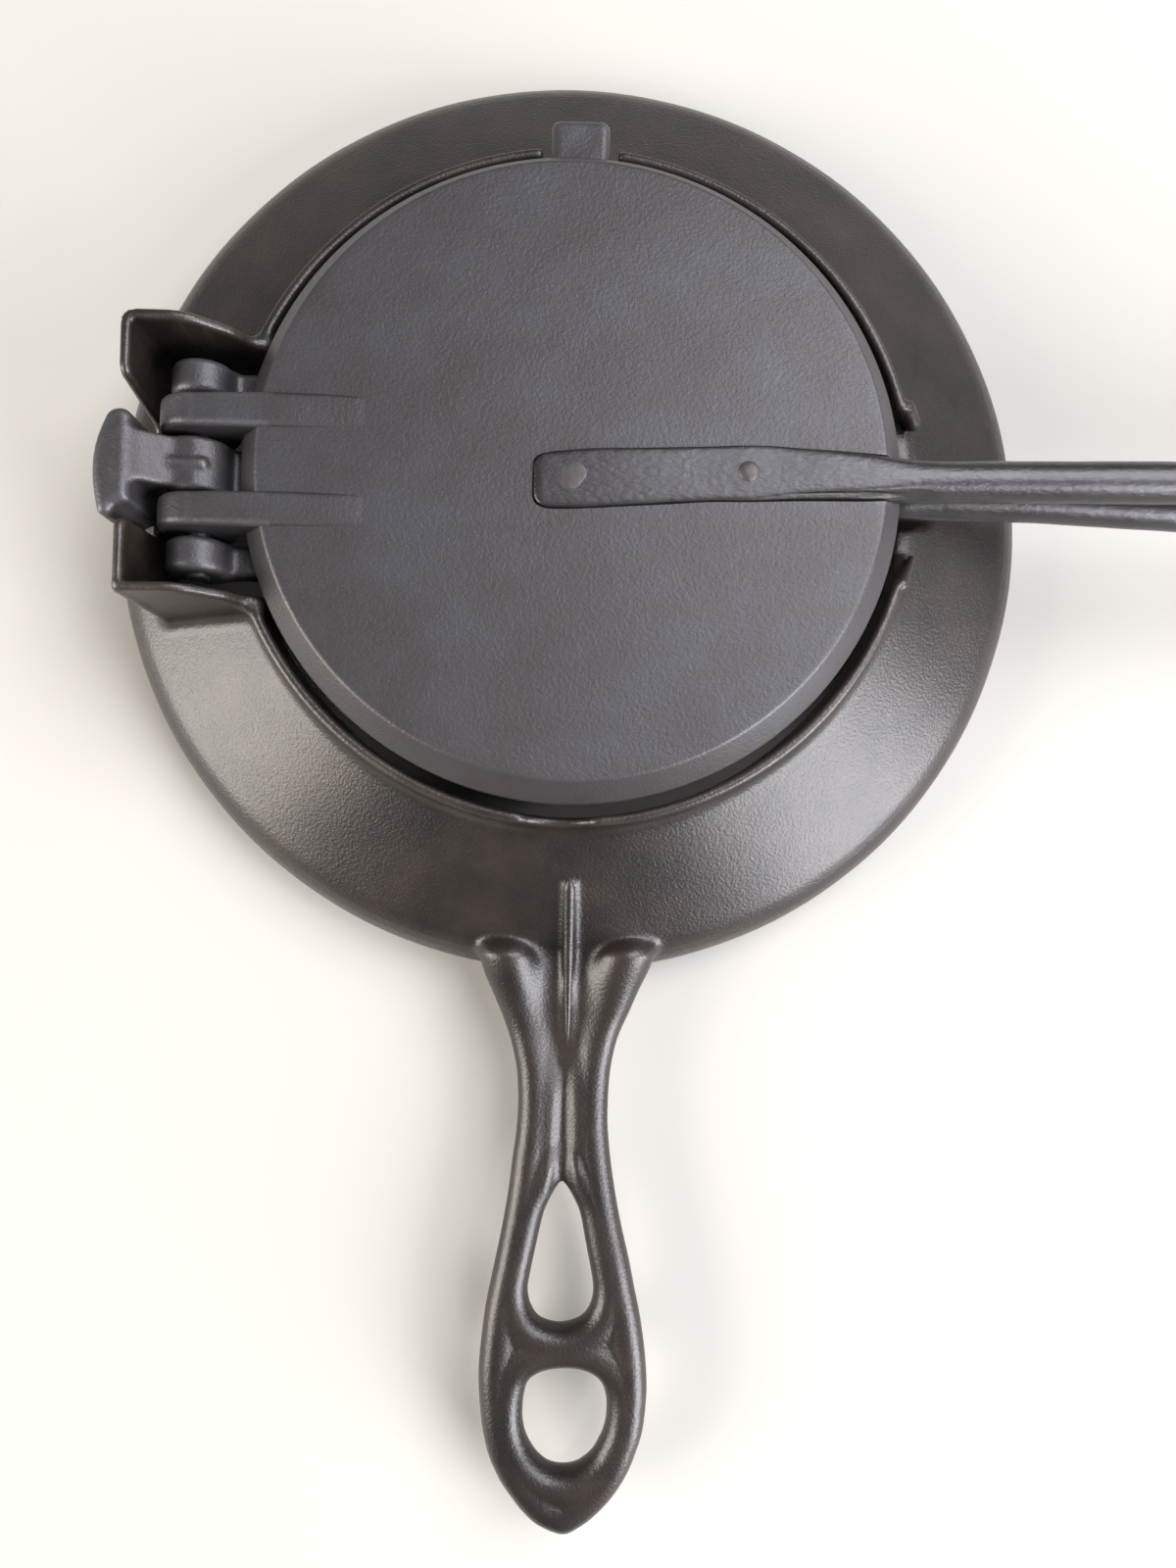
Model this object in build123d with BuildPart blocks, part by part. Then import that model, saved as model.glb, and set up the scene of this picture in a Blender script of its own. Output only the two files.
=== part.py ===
from build123d import *
import os
from math import cos, radians, sin, sqrt, tan

# Units are millimetres. The origin lies on the ring's axis at the stove top, with +Z up.
# The plate handles point along +X, the hinge lies at -X and the base handle points along -Y.

# Base ring: a domed flange with a rolled rim, and a raised collar that the plates sit in
ring_radius = 127.0
rim_height = 7.0
rim_width = 7.0
wall = 4.0
flange_slope = 26.5
shoulder_radius = 15.0
shoulder_inner_radius = 8.0
flange_width = 42.0
lip_width = 3.0
lip_round = 1.35
collar_top = 46.0
flange_top = 37.5
collar_depth = 16.0
lip_foot_radius = 6.0
rim_round = 3.15
join = 1.0
pick = 0.1  # how near an edge or corner lies to be picked for rounding

# The two round plates, which meet at the parting height
parting_height = 46.4
plate_gap = 2.8
plate_thickness = 10.0
edge_height = 3.2
bevel_width = 5.3
land_width = 9.0
baking_depth = 2.4
draft = 1.2
corner_round = 2.0

# Ribs of the baking faces: rings, spokes and a rosette
rib_height = 1.2
rib_width = 1.6
rib_ring_radii = (24.0, 38.0, 52.0, 66.0)
spoke_count = 24
petal_count = 8
petal_length = 12.0
petal_width = 4.6
petal_reach = 14.0

# Hinge: two arms of the upper plate between the knuckles and the tongue of the lower plate
pin_radius = 3.0
pin_running_gap = 0.06
pin_reach = 10.8
pin_end = 0.8
arm_spacing = 24.4
arm_width = 8.8
arm_eye_radius = 9.4
arm_lobe_rise = 1.8
arm_blend_length = 22.0
side_gap = 1.2
swing_gap = 0.7
knuckle_width = 8.7
knuckle_radius = 7.6
tongue_radius = 7.3
web_depth = 8.5

# Turning head at the end of the tongue, which sits in the notch of the pocket
head_length = 9.2
head_width = 23.4
head_top = 61.0
head_round = 3.0
seat_gap = 0.3

# Hinge pocket: three walls cast on the ring
pocket_gap = 3.5
pocket_wall = 3.0
pocket_top = 61.5
pocket_foot = 24.0
pocket_foot_rise = 4.0
pocket_shoulder = 14.0
pocket_corner_round = 2.4
pocket_start = 15.0
notch_floor = 38.0
notch_top_width = 36.0
notch_floor_width = 28.0

# Lifting lug on the edge of the lower plate, and the notches of the collar
lug_width = 15.6
lug_centre = 1.1
lug_reach = 12.3
lug_height = 10.0
lug_notch_gap = 1.6
dip_width = 18.0
dip_centre = -3.3
dip_depth = 4.5
handle_notch_width = 39.0
ear_radius = 3.2

# Wrought plate handles: a strap let into the plate, drawn out to a round rod
handle_y = -1.8
strap_start = -9.7
strap_end = 55.0
strap_start_width = 13.6
strap_end_width = 12.8
strap_neck_width = 12.0
strap_thickness = 3.2
groove_depth = 2.2
groove_gap = 0.25
rod_radius = 5.3
rod_drop = 3.0
rod_start_gap = 14.8
rod_length = 203.0
rod_end_round = 3.5
lower_bend_inset = 9.0
lower_sag = 6.0
saddle_width = 13.0
saddle_wall = 3.0
saddle_round = 4.0

# Rivets: a flush one at the plate's centre and a domed one further out
flush_rivet_x = -0.5
flush_rivet_head = 3.5
flush_rivet_shank = 2.5
flush_rivet_sink = 1.2
flush_rivet_rise = 0.15
domed_rivet_x = 42.6
domed_rivet_head = 2.5
domed_rivet_shank = 1.8
domed_rivet_rise = 0.7
rivet_crown = 0.8

# Base handle, cast in one with the ring. Its lengths are taken from the ring's outside.
grip_length = 146.6
grip_mid_height = 16.0
grip_thickness = 10.0
grip_edge_round = 4.0
grip_root_half = 24.5
grip_root_depth = 10.0
grip_flare = 5.0
grip_flare_half = 17.4
grip_neck = 35.0
grip_neck_half = 12.1
grip_waist_half = 14.3
grip_hip = 80.0
grip_hip_half = 19.0
grip_belly = 107.0
grip_belly_half = 22.2
grip_nose = 9.6
grip_shoulder_half = 14.3
grip_valley_start = 8.0
grip_valley_end = 48.0
grip_valley_depth = 2.4
grip_valley_inset = 5.5
teardrop_start = 55.1
teardrop_length = 37.9
teardrop_half = 8.2
teardrop_nose = 2.9
hanging_hole_centre = 117.1
hanging_hole_length = 26.2
hanging_hole_width = 21.4
rib_root = 26.0
rib_fade = 15.0
rib_half = 1.5
rib_stand = 2.6

# Places worked out from the sizes above
collar_bore_radius = ring_radius - flange_width
plate_radius = collar_bore_radius - plate_gap
face_radius = plate_radius - bevel_width
baking_radius = plate_radius - land_width
top_face = parting_height + plate_thickness
pin_x = -(plate_radius + pin_reach)
pin_z = parting_height
arm_inner = arm_spacing / 2 - arm_width / 2
arm_outer = arm_inner + arm_width
knuckle_inner = arm_outer + side_gap
knuckle_outer = knuckle_inner + knuckle_width
arm_swing = arm_eye_radius + arm_lobe_rise
tongue_half = arm_inner - side_gap
pocket_inner_x = pin_x - arm_swing - swing_gap
pocket_outer_x = pocket_inner_x - pocket_wall
pocket_inner_y = knuckle_outer + pocket_gap
pocket_outer_y = pocket_inner_y + pocket_wall
strap_floor = plate_thickness - groove_depth
rod_offset = plate_thickness - rod_drop
lower_rod_z = parting_height - rod_offset
rod_start = plate_radius + rod_start_gap
rod_end = ring_radius + rod_length
lower_bend = ring_radius - lower_bend_inset
slope = tan(radians(flange_slope))


def at(side, height):
    """Height above the stove top of a point that lies height from the parting plane."""
    return parting_height + side * height


def flange_height(radius):
    """Height of the flange's upper surface at a radius."""
    return flange_top - (radius - collar_bore_radius - lip_width) * slope


def slab_plane(y_low, width):
    """Upright plane for a slab that runs from y_low to y_low + width."""
    return Plane.XZ.offset(-(y_low + width))


def plate_blank(side):
    """Round plate: bevelled outside edge, flat land at the parting plane, sunk baking face."""
    with BuildPart() as blank:
        with BuildSketch(Plane.XZ) as section:
            with BuildLine():
                Polyline(
                    (0, at(side, baking_depth)),
                    (baking_radius, at(side, baking_depth)),
                    (baking_radius + draft, at(side, 0)),
                    (plate_radius, at(side, 0)),
                    (plate_radius, at(side, edge_height)),
                    (face_radius, at(side, plate_thickness)),
                    (0, at(side, plate_thickness)),
                    close=True,
                )
            make_face()
            rim = section.vertices().filter_by_position(Axis.X, face_radius, plate_radius)
            fillet(rim.sort_by(lambda corner: abs(corner.Y - parting_height))[1:], corner_round)
        revolve(axis=Axis.Z)
        with BuildSketch(Plane.XY.offset(at(side, baking_depth))):
            for radius in rib_ring_radii:
                Circle(radius + rib_width / 2)
                Circle(radius - rib_width / 2, mode=Mode.SUBTRACT)
            spoke = rib_ring_radii[-1] - rib_ring_radii[0]
            middle = (rib_ring_radii[-1] + rib_ring_radii[0]) / 2
            with PolarLocations(middle, spoke_count):
                Rectangle(spoke, rib_width)
            with PolarLocations(petal_reach, petal_count):
                Ellipse(petal_length / 2, petal_width / 2)
        extrude(amount=-side * rib_height)
    return blank.part


def strap_groove(side):
    """Groove in the outer face that the handle's strap is let into."""
    length = plate_radius - strap_start + 2 * groove_gap
    with BuildPart() as groove:
        with BuildSketch(Plane.XY.offset(at(side, strap_floor))):
            with Locations((strap_start - groove_gap + length / 2, handle_y)):
                Rectangle(length, strap_start_width + 2 * groove_gap)
        extrude(amount=side * 2 * groove_depth)
    return groove.part


def hinge_bore(radius, half_length):
    """Cylinder on the pin's axis."""
    with BuildPart() as bore:
        with BuildSketch(Plane.XZ):
            with Locations((pin_x, pin_z)):
                Circle(radius)
        extrude(amount=half_length, both=True)
    return bore.part


def rivet_holes(side):
    """Shank holes through a plate under the strap."""
    with BuildPart() as holes:
        for x, radius in (
            (flush_rivet_x, flush_rivet_shank),
            (domed_rivet_x, domed_rivet_shank),
        ):
            with BuildSketch(Plane.XY.offset(at(side, baking_depth))):
                with Locations((x, handle_y)):
                    Circle(radius)
            extrude(amount=side * plate_thickness)
    return holes.part


# Upper plate: the blank with two hinge arms that run over its edge and wrap the pin
with BuildPart() as upper_plate:
    add(plate_blank(1))
    add(strap_groove(1), mode=Mode.SUBTRACT)
    add(rivet_holes(1), mode=Mode.SUBTRACT)
    lobe_z = pin_z + arm_lobe_rise
    lobe_side = arm_eye_radius * sin(radians(45))
    for y_low in (arm_inner, -arm_outer):
        with BuildSketch(slab_plane(y_low, arm_width)):
            with BuildLine():
                Polyline(
                    (pin_x + arm_eye_radius, parting_height),
                    (-(baking_radius + draft), parting_height),
                    (-(baking_radius + draft), at(1, plate_thickness / 2)),
                    (-face_radius + arm_blend_length, at(1, plate_thickness / 2)),
                    (-face_radius + arm_blend_length, top_face),
                    (pin_x, lobe_z + arm_eye_radius),
                )
                ThreePointArc(
                    (pin_x, lobe_z + arm_eye_radius),
                    (pin_x - lobe_side, lobe_z + lobe_side),
                    (pin_x - arm_eye_radius, lobe_z),
                )
                Line((pin_x - arm_eye_radius, lobe_z), (pin_x - arm_eye_radius, pin_z))
                ThreePointArc(
                    (pin_x - arm_eye_radius, pin_z),
                    (pin_x, pin_z - arm_eye_radius),
                    (pin_x + arm_eye_radius, parting_height),
                )
            make_face()
        extrude(amount=arm_width)
    add(hinge_bore(pin_radius + pin_running_gap, arm_outer + side_gap), mode=Mode.SUBTRACT)
upper_plate.part.label = "upper_plate"

# Lower plate: the blank with two knuckles, a tongue with its turning head, and a lifting lug
with BuildPart() as lower_plate:
    add(plate_blank(-1))
    add(strap_groove(-1), mode=Mode.SUBTRACT)
    add(rivet_holes(-1), mode=Mode.SUBTRACT)
    web_x = -(baking_radius + draft)
    web_z = parting_height - web_depth
    barrels = (
        (knuckle_inner, knuckle_width, knuckle_radius),
        (-knuckle_outer, knuckle_width, knuckle_radius),
        (-tongue_half, 2 * tongue_half, tongue_radius),
    )
    for y_low, width, radius in barrels:
        with BuildSketch(slab_plane(y_low, width)):
            with BuildLine():
                Polyline(
                    (web_x, web_z),
                    (web_x, parting_height),
                    (-plate_radius, parting_height),
                    (pin_x + radius, pin_z),
                    (pin_x - radius, pin_z),
                    (pin_x - radius, pin_z - radius / 2),
                    (pin_x, web_z),
                    close=True,
                )
            make_face()
            with Locations((pin_x, pin_z)):
                Circle(radius)
        extrude(amount=width)
    head_x = pocket_inner_x - head_length
    head_floor = notch_floor + seat_gap
    with BuildSketch(slab_plane(-tongue_half, 2 * tongue_half)):
        with BuildLine():
            Polyline(
                (pin_x, pin_z + tongue_radius),
                (pin_x - tongue_radius, pin_z + tongue_radius + join),
                (pocket_inner_x - join, head_top - head_round),
                (pocket_inner_x - join, head_floor),
                (pin_x - tongue_radius, head_floor),
                (pin_x, pin_z),
                close=True,
            )
        make_face()
    extrude(amount=2 * tongue_half)
    with BuildSketch(slab_plane(-head_width / 2, head_width)) as head_section:
        with BuildLine():
            Polyline(
                (pocket_inner_x, head_floor),
                (pocket_inner_x, head_top),
                (head_x, head_top - head_round),
                (head_x, head_floor),
                close=True,
            )
        make_face()
        fillet(head_section.vertices(), radius=head_round)
    extrude(amount=head_width)
    for y_low in (arm_inner, -arm_outer):
        with BuildSketch(slab_plane(y_low - side_gap / 2, arm_width + side_gap)):
            with Locations((pin_x, pin_z)):
                Circle(arm_swing + swing_gap / 2)
        extrude(amount=arm_width + side_gap, mode=Mode.SUBTRACT)
    lug_floor = flange_top + seat_gap
    with BuildSketch(Plane.XY.offset(lug_floor)) as lug_outline:
        with Locations((lug_centre, plate_radius + seat_gap + (lug_reach - seat_gap) / 2)):
            Rectangle(lug_width, lug_reach - seat_gap)
        far = lug_outline.vertices().group_by(Axis.Y)[-1]
        fillet(far, radius=corner_round)
    extrude(amount=lug_height)
    with BuildSketch(Plane.XY.offset(lug_floor)):
        with Locations((lug_centre, plate_radius - land_width / 4)):
            Rectangle(lug_width, land_width / 2 + 2 * seat_gap)
    extrude(amount=parting_height - lug_floor)
    add(hinge_bore(pin_radius, knuckle_outer + join), mode=Mode.SUBTRACT)
lower_plate.part.label = "lower_plate"

# Hinge pin, driven through the knuckles and the tongue
with BuildPart() as hinge_pin:
    add(hinge_bore(pin_radius, knuckle_outer + pin_end))
    ends = hinge_pin.edges().filter_by(GeomType.CIRCLE)
    chamfer(ends, length=pin_end / 2)
hinge_pin.part.label = "hinge_pin"


def handle(side, rod_points):
    """Strap that widens out of its groove into a round rod through rod_points."""
    rod_top = rod_offset + rod_radius
    stations = (
        (strap_start, strap_start_width, strap_floor, strap_floor + strap_thickness),
        (strap_end, strap_end_width, strap_floor, strap_floor + strap_thickness),
        (plate_radius + groove_gap, strap_neck_width, strap_floor, rod_top),
        (rod_start, 2 * rod_radius, rod_offset - rod_radius, rod_top),
    )
    with BuildPart() as bar:
        for first, second in zip(stations, stations[1:]):
            for x, width, low, high in (first, second):
                corner = min(width, high - low) / 2 - 0.05
                with BuildSketch(Plane.YZ.offset(x)):
                    with Locations((handle_y, at(side, (low + high) / 2))):
                        RectangleRounded(width, high - low, corner)
            loft(ruled=True)
        for (x_a, z_a), (x_b, z_b) in zip(rod_points, rod_points[1:]):
            for x, z in ((x_a, z_a), (x_b, z_b)):
                with BuildSketch(Plane.YZ.offset(x)):
                    with Locations((handle_y, z)):
                        Circle(rod_radius)
            loft(ruled=True)
        tip = bar.faces().sort_by(Axis.X)[-1]
        fillet(tip.edges(), radius=rod_end_round)
        with BuildSketch(Plane.XY.offset(at(side, strap_floor - join))):
            with Locations((strap_start, handle_y)):
                Rectangle(2 * strap_start_width, 2 * strap_start_width)
            with Locations((strap_start + strap_start_width, handle_y)):
                RectangleRounded(2 * strap_start_width, strap_start_width, strap_start_width / 4,
                                 mode=Mode.SUBTRACT)
        extrude(amount=side * 2 * strap_thickness, mode=Mode.SUBTRACT)
        for x, radius in (
            (flush_rivet_x, flush_rivet_shank),
            (domed_rivet_x, domed_rivet_shank),
        ):
            with BuildSketch(Plane.XY.offset(at(side, strap_floor))):
                with Locations((x, handle_y)):
                    Circle(radius)
            extrude(amount=side * 2 * strap_thickness, mode=Mode.SUBTRACT)
        with BuildSketch(Plane.XZ.offset(-handle_y)):
            strap_face = at(side, strap_floor + strap_thickness)
            with BuildLine():
                Polyline(
                    (flush_rivet_x, strap_face - side * flush_rivet_sink),
                    (flush_rivet_x + flush_rivet_shank, strap_face - side * flush_rivet_sink),
                    (flush_rivet_x + flush_rivet_head, strap_face),
                    (flush_rivet_x, strap_face),
                    close=True,
                )
            make_face()
        revolve(axis=Axis((flush_rivet_x, handle_y, 0), (0, 0, 1)), mode=Mode.SUBTRACT)
    return bar.part


def rivet(side, x, shank, head, sink, rise):
    """Rivet from the baking face up to its head on the strap."""
    face = strap_floor + strap_thickness
    with BuildPart() as body:
        with BuildSketch(Plane.XZ.offset(-handle_y)):
            with BuildLine():
                Polyline(
                    (x, at(side, baking_depth)),
                    (x + shank, at(side, baking_depth)),
                    (x + shank, at(side, face - sink)),
                    (x + head, at(side, face)),
                    (x + head * rivet_crown, at(side, face + rise)),
                    (x, at(side, face + rise)),
                    close=True,
                )
            make_face()
        revolve(axis=Axis((x, handle_y, 0), (0, 0, 1)))
    return body.part


upper_rod = ((rod_start, at(1, rod_offset)), (rod_end, at(1, rod_offset)))
lower_rod = (
    (rod_start, lower_rod_z),
    (lower_bend, lower_rod_z),
    (rod_end, lower_rod_z - lower_sag),
)
flush = (flush_rivet_x, flush_rivet_shank, flush_rivet_head, flush_rivet_sink, flush_rivet_rise)
domed = (domed_rivet_x, domed_rivet_shank, domed_rivet_head, 0.0, domed_rivet_rise)

with BuildPart() as upper_handle:
    add(handle(1, upper_rod))
upper_handle.part.label = "upper_handle"

with BuildPart() as lower_handle:
    add(handle(-1, lower_rod))
lower_handle.part.label = "lower_handle"

with BuildPart() as upper_flush_rivet:
    add(rivet(1, *flush))
upper_flush_rivet.part.label = "upper_flush_rivet"

with BuildPart() as upper_domed_rivet:
    add(rivet(1, *domed))
upper_domed_rivet.part.label = "upper_domed_rivet"

with BuildPart() as lower_flush_rivet:
    add(rivet(-1, *flush))
lower_flush_rivet.part.label = "lower_flush_rivet"

with BuildPart() as lower_domed_rivet:
    add(rivet(-1, *domed))
lower_domed_rivet.part.label = "lower_domed_rivet"


# Base handle: a flat grip with rolled edges, a teardrop hole and a hanging hole
grip_low = grip_mid_height - grip_thickness / 2
tear_start = ring_radius + teardrop_start
tear_end = tear_start + teardrop_length
shoulder_inner = ring_radius - wall
with BuildPart() as grip:
    with BuildSketch(Plane.XY.offset(grip_low)):
        with BuildLine() as outline:
            right = Spline(
                (grip_root_half, -sqrt(ring_radius**2 - grip_root_half**2) + grip_root_depth),
                (grip_flare_half, -(ring_radius + grip_flare)),
                (grip_neck_half, -(ring_radius + grip_neck)),
                (grip_waist_half, -tear_start),
                (grip_hip_half, -(ring_radius + grip_hip)),
                (grip_belly_half, -(ring_radius + grip_belly)),
                (grip_shoulder_half, -(ring_radius + grip_length - grip_nose)),
                (0, -(ring_radius + grip_length)),
                tangents=((-0.35, -1), (-1, -0.25)),
            )
            mirror(right, about=Plane.YZ)
            Line(right @ 0, (-(right @ 0).X, (right @ 0).Y))
        make_face()
    extrude(amount=grip_thickness)
    fillet(grip.edges().filter_by(GeomType.LINE, reverse=True), radius=grip_edge_round)
    with BuildSketch(Plane.XY.offset(grip_low)):
        Circle(shoulder_inner)
    extrude(amount=grip_thickness, mode=Mode.SUBTRACT)
    with BuildSketch(Plane.XY.offset(grip_low)):
        with BuildLine():
            CenterArc((0, -(tear_start + teardrop_nose)), teardrop_nose, 0, 360)
            CenterArc((0, -tear_end + teardrop_half), teardrop_half, 0, 360)
        make_hull()
        with Locations((0, -(ring_radius + hanging_hole_centre))):
            Ellipse(hanging_hole_width / 2, hanging_hole_length / 2)
    extrude(amount=grip_thickness, mode=Mode.SUBTRACT)
    valley_half = grip_neck_half - grip_valley_inset
    valley_length = grip_valley_end - grip_valley_start
    with BuildSketch(Plane.XY.offset(grip_low + grip_thickness - grip_valley_depth)):
        with Locations((0, -(ring_radius + (grip_valley_start + grip_valley_end) / 2))):
            SlotOverall(valley_length, 2 * valley_half, rotation=90)
    extrude(amount=grip_thickness, mode=Mode.SUBTRACT)

# Base casting: ring, collar, hinge pocket, handle saddle and grip in one piece
with BuildPart() as base_casting:
    lip_outer = collar_bore_radius + lip_width
    under = wall / cos(radians(flange_slope))
    outward = (-cos(radians(45)), sin(radians(45)), 0)
    along = (sin(radians(45)), cos(radians(45)), 0)
    with BuildSketch(Plane((0, 0, 0), x_dir=outward, z_dir=along)) as ring_section:
        with BuildLine():
            Polyline(
                (collar_bore_radius, collar_top - collar_depth),
                (collar_bore_radius, collar_top),
                (lip_outer, collar_top),
                (lip_outer, flange_top),
                (ring_radius, flange_height(ring_radius)),
                (ring_radius, 0),
                (ring_radius - rim_width, 0),
                (ring_radius - rim_width, rim_height),
                (shoulder_inner, rim_height),
                (shoulder_inner, flange_height(shoulder_inner) - under),
                (lip_outer + join, flange_height(lip_outer + join) - under),
                (lip_outer + join, collar_top - collar_depth),
                close=True,
            )
        make_face()
        corners = ring_section.vertices()
        shoulder = corners.filter_by_position(Axis.X, ring_radius - pick, ring_radius + pick)
        fillet(shoulder.sort_by(Axis.Y)[-1], radius=shoulder_radius)
        inner = ring_section.vertices().filter_by_position(
            Axis.X, shoulder_inner - pick, shoulder_inner + pick
        )
        fillet(inner.sort_by(Axis.Y)[-1], radius=shoulder_inner_radius)
        lip = ring_section.vertices().filter_by_position(Axis.X, lip_outer - pick, lip_outer + pick)
        fillet(lip.sort_by(Axis.Y)[0], radius=lip_foot_radius)
        crown = ring_section.vertices().group_by(Axis.Y)[-1]
        fillet(crown, radius=lip_round)
        bead = ring_section.vertices().group_by(Axis.Y)[0]
        fillet(bead, radius=rim_round)
    revolve(axis=Axis.Z)

    # Opening for the hinge, then the pocket's side walls and rear wall around it
    opening_length = pocket_start - collar_bore_radius - pocket_inner_x
    with BuildSketch(Plane.XY):
        with Locations((pocket_inner_x + opening_length / 2, 0)):
            Rectangle(opening_length, 2 * pocket_inner_y)
    extrude(amount=pocket_top, mode=Mode.SUBTRACT)
    wall_meets = -sqrt(lip_outer**2 - pocket_outer_y**2)
    for y_low in (pocket_inner_y, -pocket_outer_y):
        with BuildSketch(slab_plane(y_low, pocket_wall)):
            with BuildLine():
                crest = Spline(
                    (pocket_outer_x + pocket_shoulder, pocket_top),
                    (wall_meets + lip_width / 2, collar_top - join),
                    tangents=((1, -0.15), (1, -0.6)),
                )
                Polyline(
                    crest @ 1,
                    (wall_meets + lip_width / 2, pocket_foot + pocket_foot_rise),
                    (pocket_outer_x, pocket_foot),
                    (pocket_outer_x, pocket_top),
                    crest @ 0,
                )
            make_face()
        extrude(amount=pocket_wall)
    with BuildSketch(Plane.YZ.offset(pocket_outer_x)):
        with BuildLine():
            Polyline(
                (-pocket_outer_y, pocket_foot),
                (-pocket_outer_y, pocket_top),
                (-notch_top_width / 2, pocket_top),
                (-notch_floor_width / 2, notch_floor),
                (notch_floor_width / 2, notch_floor),
                (notch_top_width / 2, pocket_top),
                (pocket_outer_y, pocket_top),
                (pocket_outer_y, pocket_foot),
                close=True,
            )
        make_face()
    extrude(amount=pocket_wall)
    corner_edges = base_casting.edges().filter_by(Axis.Z).filter_by_position(
        Axis.X, pocket_outer_x - pick, pocket_outer_x + pick
    )
    corner_edges = corner_edges.filter_by(lambda edge: abs(edge.center().Y) > pocket_outer_y - pick)
    fillet(corner_edges, radius=pocket_corner_round)

    # Notches of the collar: the lug's, the dip opposite it and the handles'
    with BuildSketch(Plane.XY.offset(flange_top)):
        with Locations((lug_centre, collar_bore_radius)):
            Rectangle(lug_width + 2 * lug_notch_gap, 2 * lug_reach)
    extrude(amount=collar_top, mode=Mode.SUBTRACT)
    with BuildSketch(Plane.XZ.offset(collar_bore_radius - lip_width)):
        with Locations((dip_centre, collar_top)):
            Ellipse(dip_width / 2, dip_depth)
    extrude(amount=4 * lip_width, mode=Mode.SUBTRACT)
    notch_near = collar_bore_radius - 2 * lip_width
    notch_far = collar_bore_radius + 2 * lip_width
    notch_flare = handle_notch_width / (2 * collar_bore_radius)
    with BuildSketch(Plane.XY.offset(flange_top - join)):
        with BuildLine():
            Polyline(
                (notch_near, notch_near * notch_flare),
                (notch_far, notch_far * notch_flare),
                (notch_far, -notch_far * notch_flare),
                (notch_near, -notch_near * notch_flare),
                close=True,
            )
        make_face()
    extrude(amount=collar_top, mode=Mode.SUBTRACT)

    # Saddle: a trough in the flange that the lower rod lies in
    trough_floor = lower_rod_z - rod_radius - seat_gap
    boss_width = saddle_width + 2 * saddle_wall
    with BuildSketch(Plane.YZ.offset(collar_bore_radius)):
        with Locations((handle_y, trough_floor - saddle_wall + collar_top / 2)):
            RectangleRounded(boss_width, collar_top, saddle_round + saddle_wall)
    extrude(amount=lower_bend - collar_bore_radius - wall)
    with BuildSketch(Plane.YZ.offset(collar_bore_radius - join)):
        with Locations((handle_y, trough_floor + collar_top / 2)):
            RectangleRounded(saddle_width, collar_top, saddle_round)
    extrude(amount=flange_width + 2 * join, mode=Mode.SUBTRACT)
    with BuildSketch(Plane.XZ.offset(-handle_y)):
        with BuildLine():
            Polyline(
                (collar_bore_radius - join, 2 * collar_top),
                (collar_bore_radius - join, flange_height(collar_bore_radius - join)),
                (ring_radius, flange_height(ring_radius)),
                (ring_radius, 2 * collar_top),
                close=True,
            )
        make_face()
    extrude(amount=boss_width / 2 + join, both=True, mode=Mode.SUBTRACT)

    # Ears: the collar's two ends beside the handles
    for sign in (1, -1):
        ear_y = sign * (handle_notch_width / 2 - ear_radius / 2)
        ear_x = sqrt((collar_bore_radius + lip_width / 2) ** 2 - ear_y**2)
        with Locations((ear_x, ear_y, flange_top + join)):
            Sphere(ear_radius)

    # Rib that runs off the flange on to the grip
    grip_top = grip_mid_height + grip_thickness / 2
    rib_start = ring_radius - rib_root
    rib_end = ring_radius + rib_fade
    with BuildSketch(Plane.YZ.offset(-rib_half)):
        with BuildLine():
            Polyline(
                (-rib_start, flange_height(rib_start) - join),
                (-rib_start - rib_stand, flange_height(rib_start) + rib_stand - join),
                (-ring_radius, grip_top + 2 * rib_stand),
                (-rib_end, grip_top),
                (-rib_end, grip_mid_height),
                (-ring_radius, grip_mid_height),
                (-(ring_radius - 2 * wall), flange_height(ring_radius) - join),
                close=True,
            )
        make_face()
    extrude(amount=2 * rib_half)
    add(grip.part)

base_casting.part.label = "base_casting"

os.makedirs("parts", exist_ok=True)
export_step(base_casting.part, "parts/base_casting.step")
export_step(lower_plate.part, "parts/lower_plate.step")
export_step(upper_plate.part, "parts/upper_plate.step")
export_step(hinge_pin.part, "parts/hinge_pin.step")
export_step(lower_handle.part, "parts/lower_handle.step")
export_step(upper_handle.part, "parts/upper_handle.step")
export_step(lower_flush_rivet.part, "parts/lower_flush_rivet.step")
export_step(upper_flush_rivet.part, "parts/upper_flush_rivet.step")
export_step(lower_domed_rivet.part, "parts/lower_domed_rivet.step")
export_step(upper_domed_rivet.part, "parts/upper_domed_rivet.step")
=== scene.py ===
"""Looks of a stove-top pizzelle iron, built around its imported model.

Lengths below are millimetres. Meshes and Blender's own settings are metres.
Origin: centre of the ring at the stove top. +X plate handles, -X hinge, -Y base handle, +Z up.
"""

import math

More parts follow.
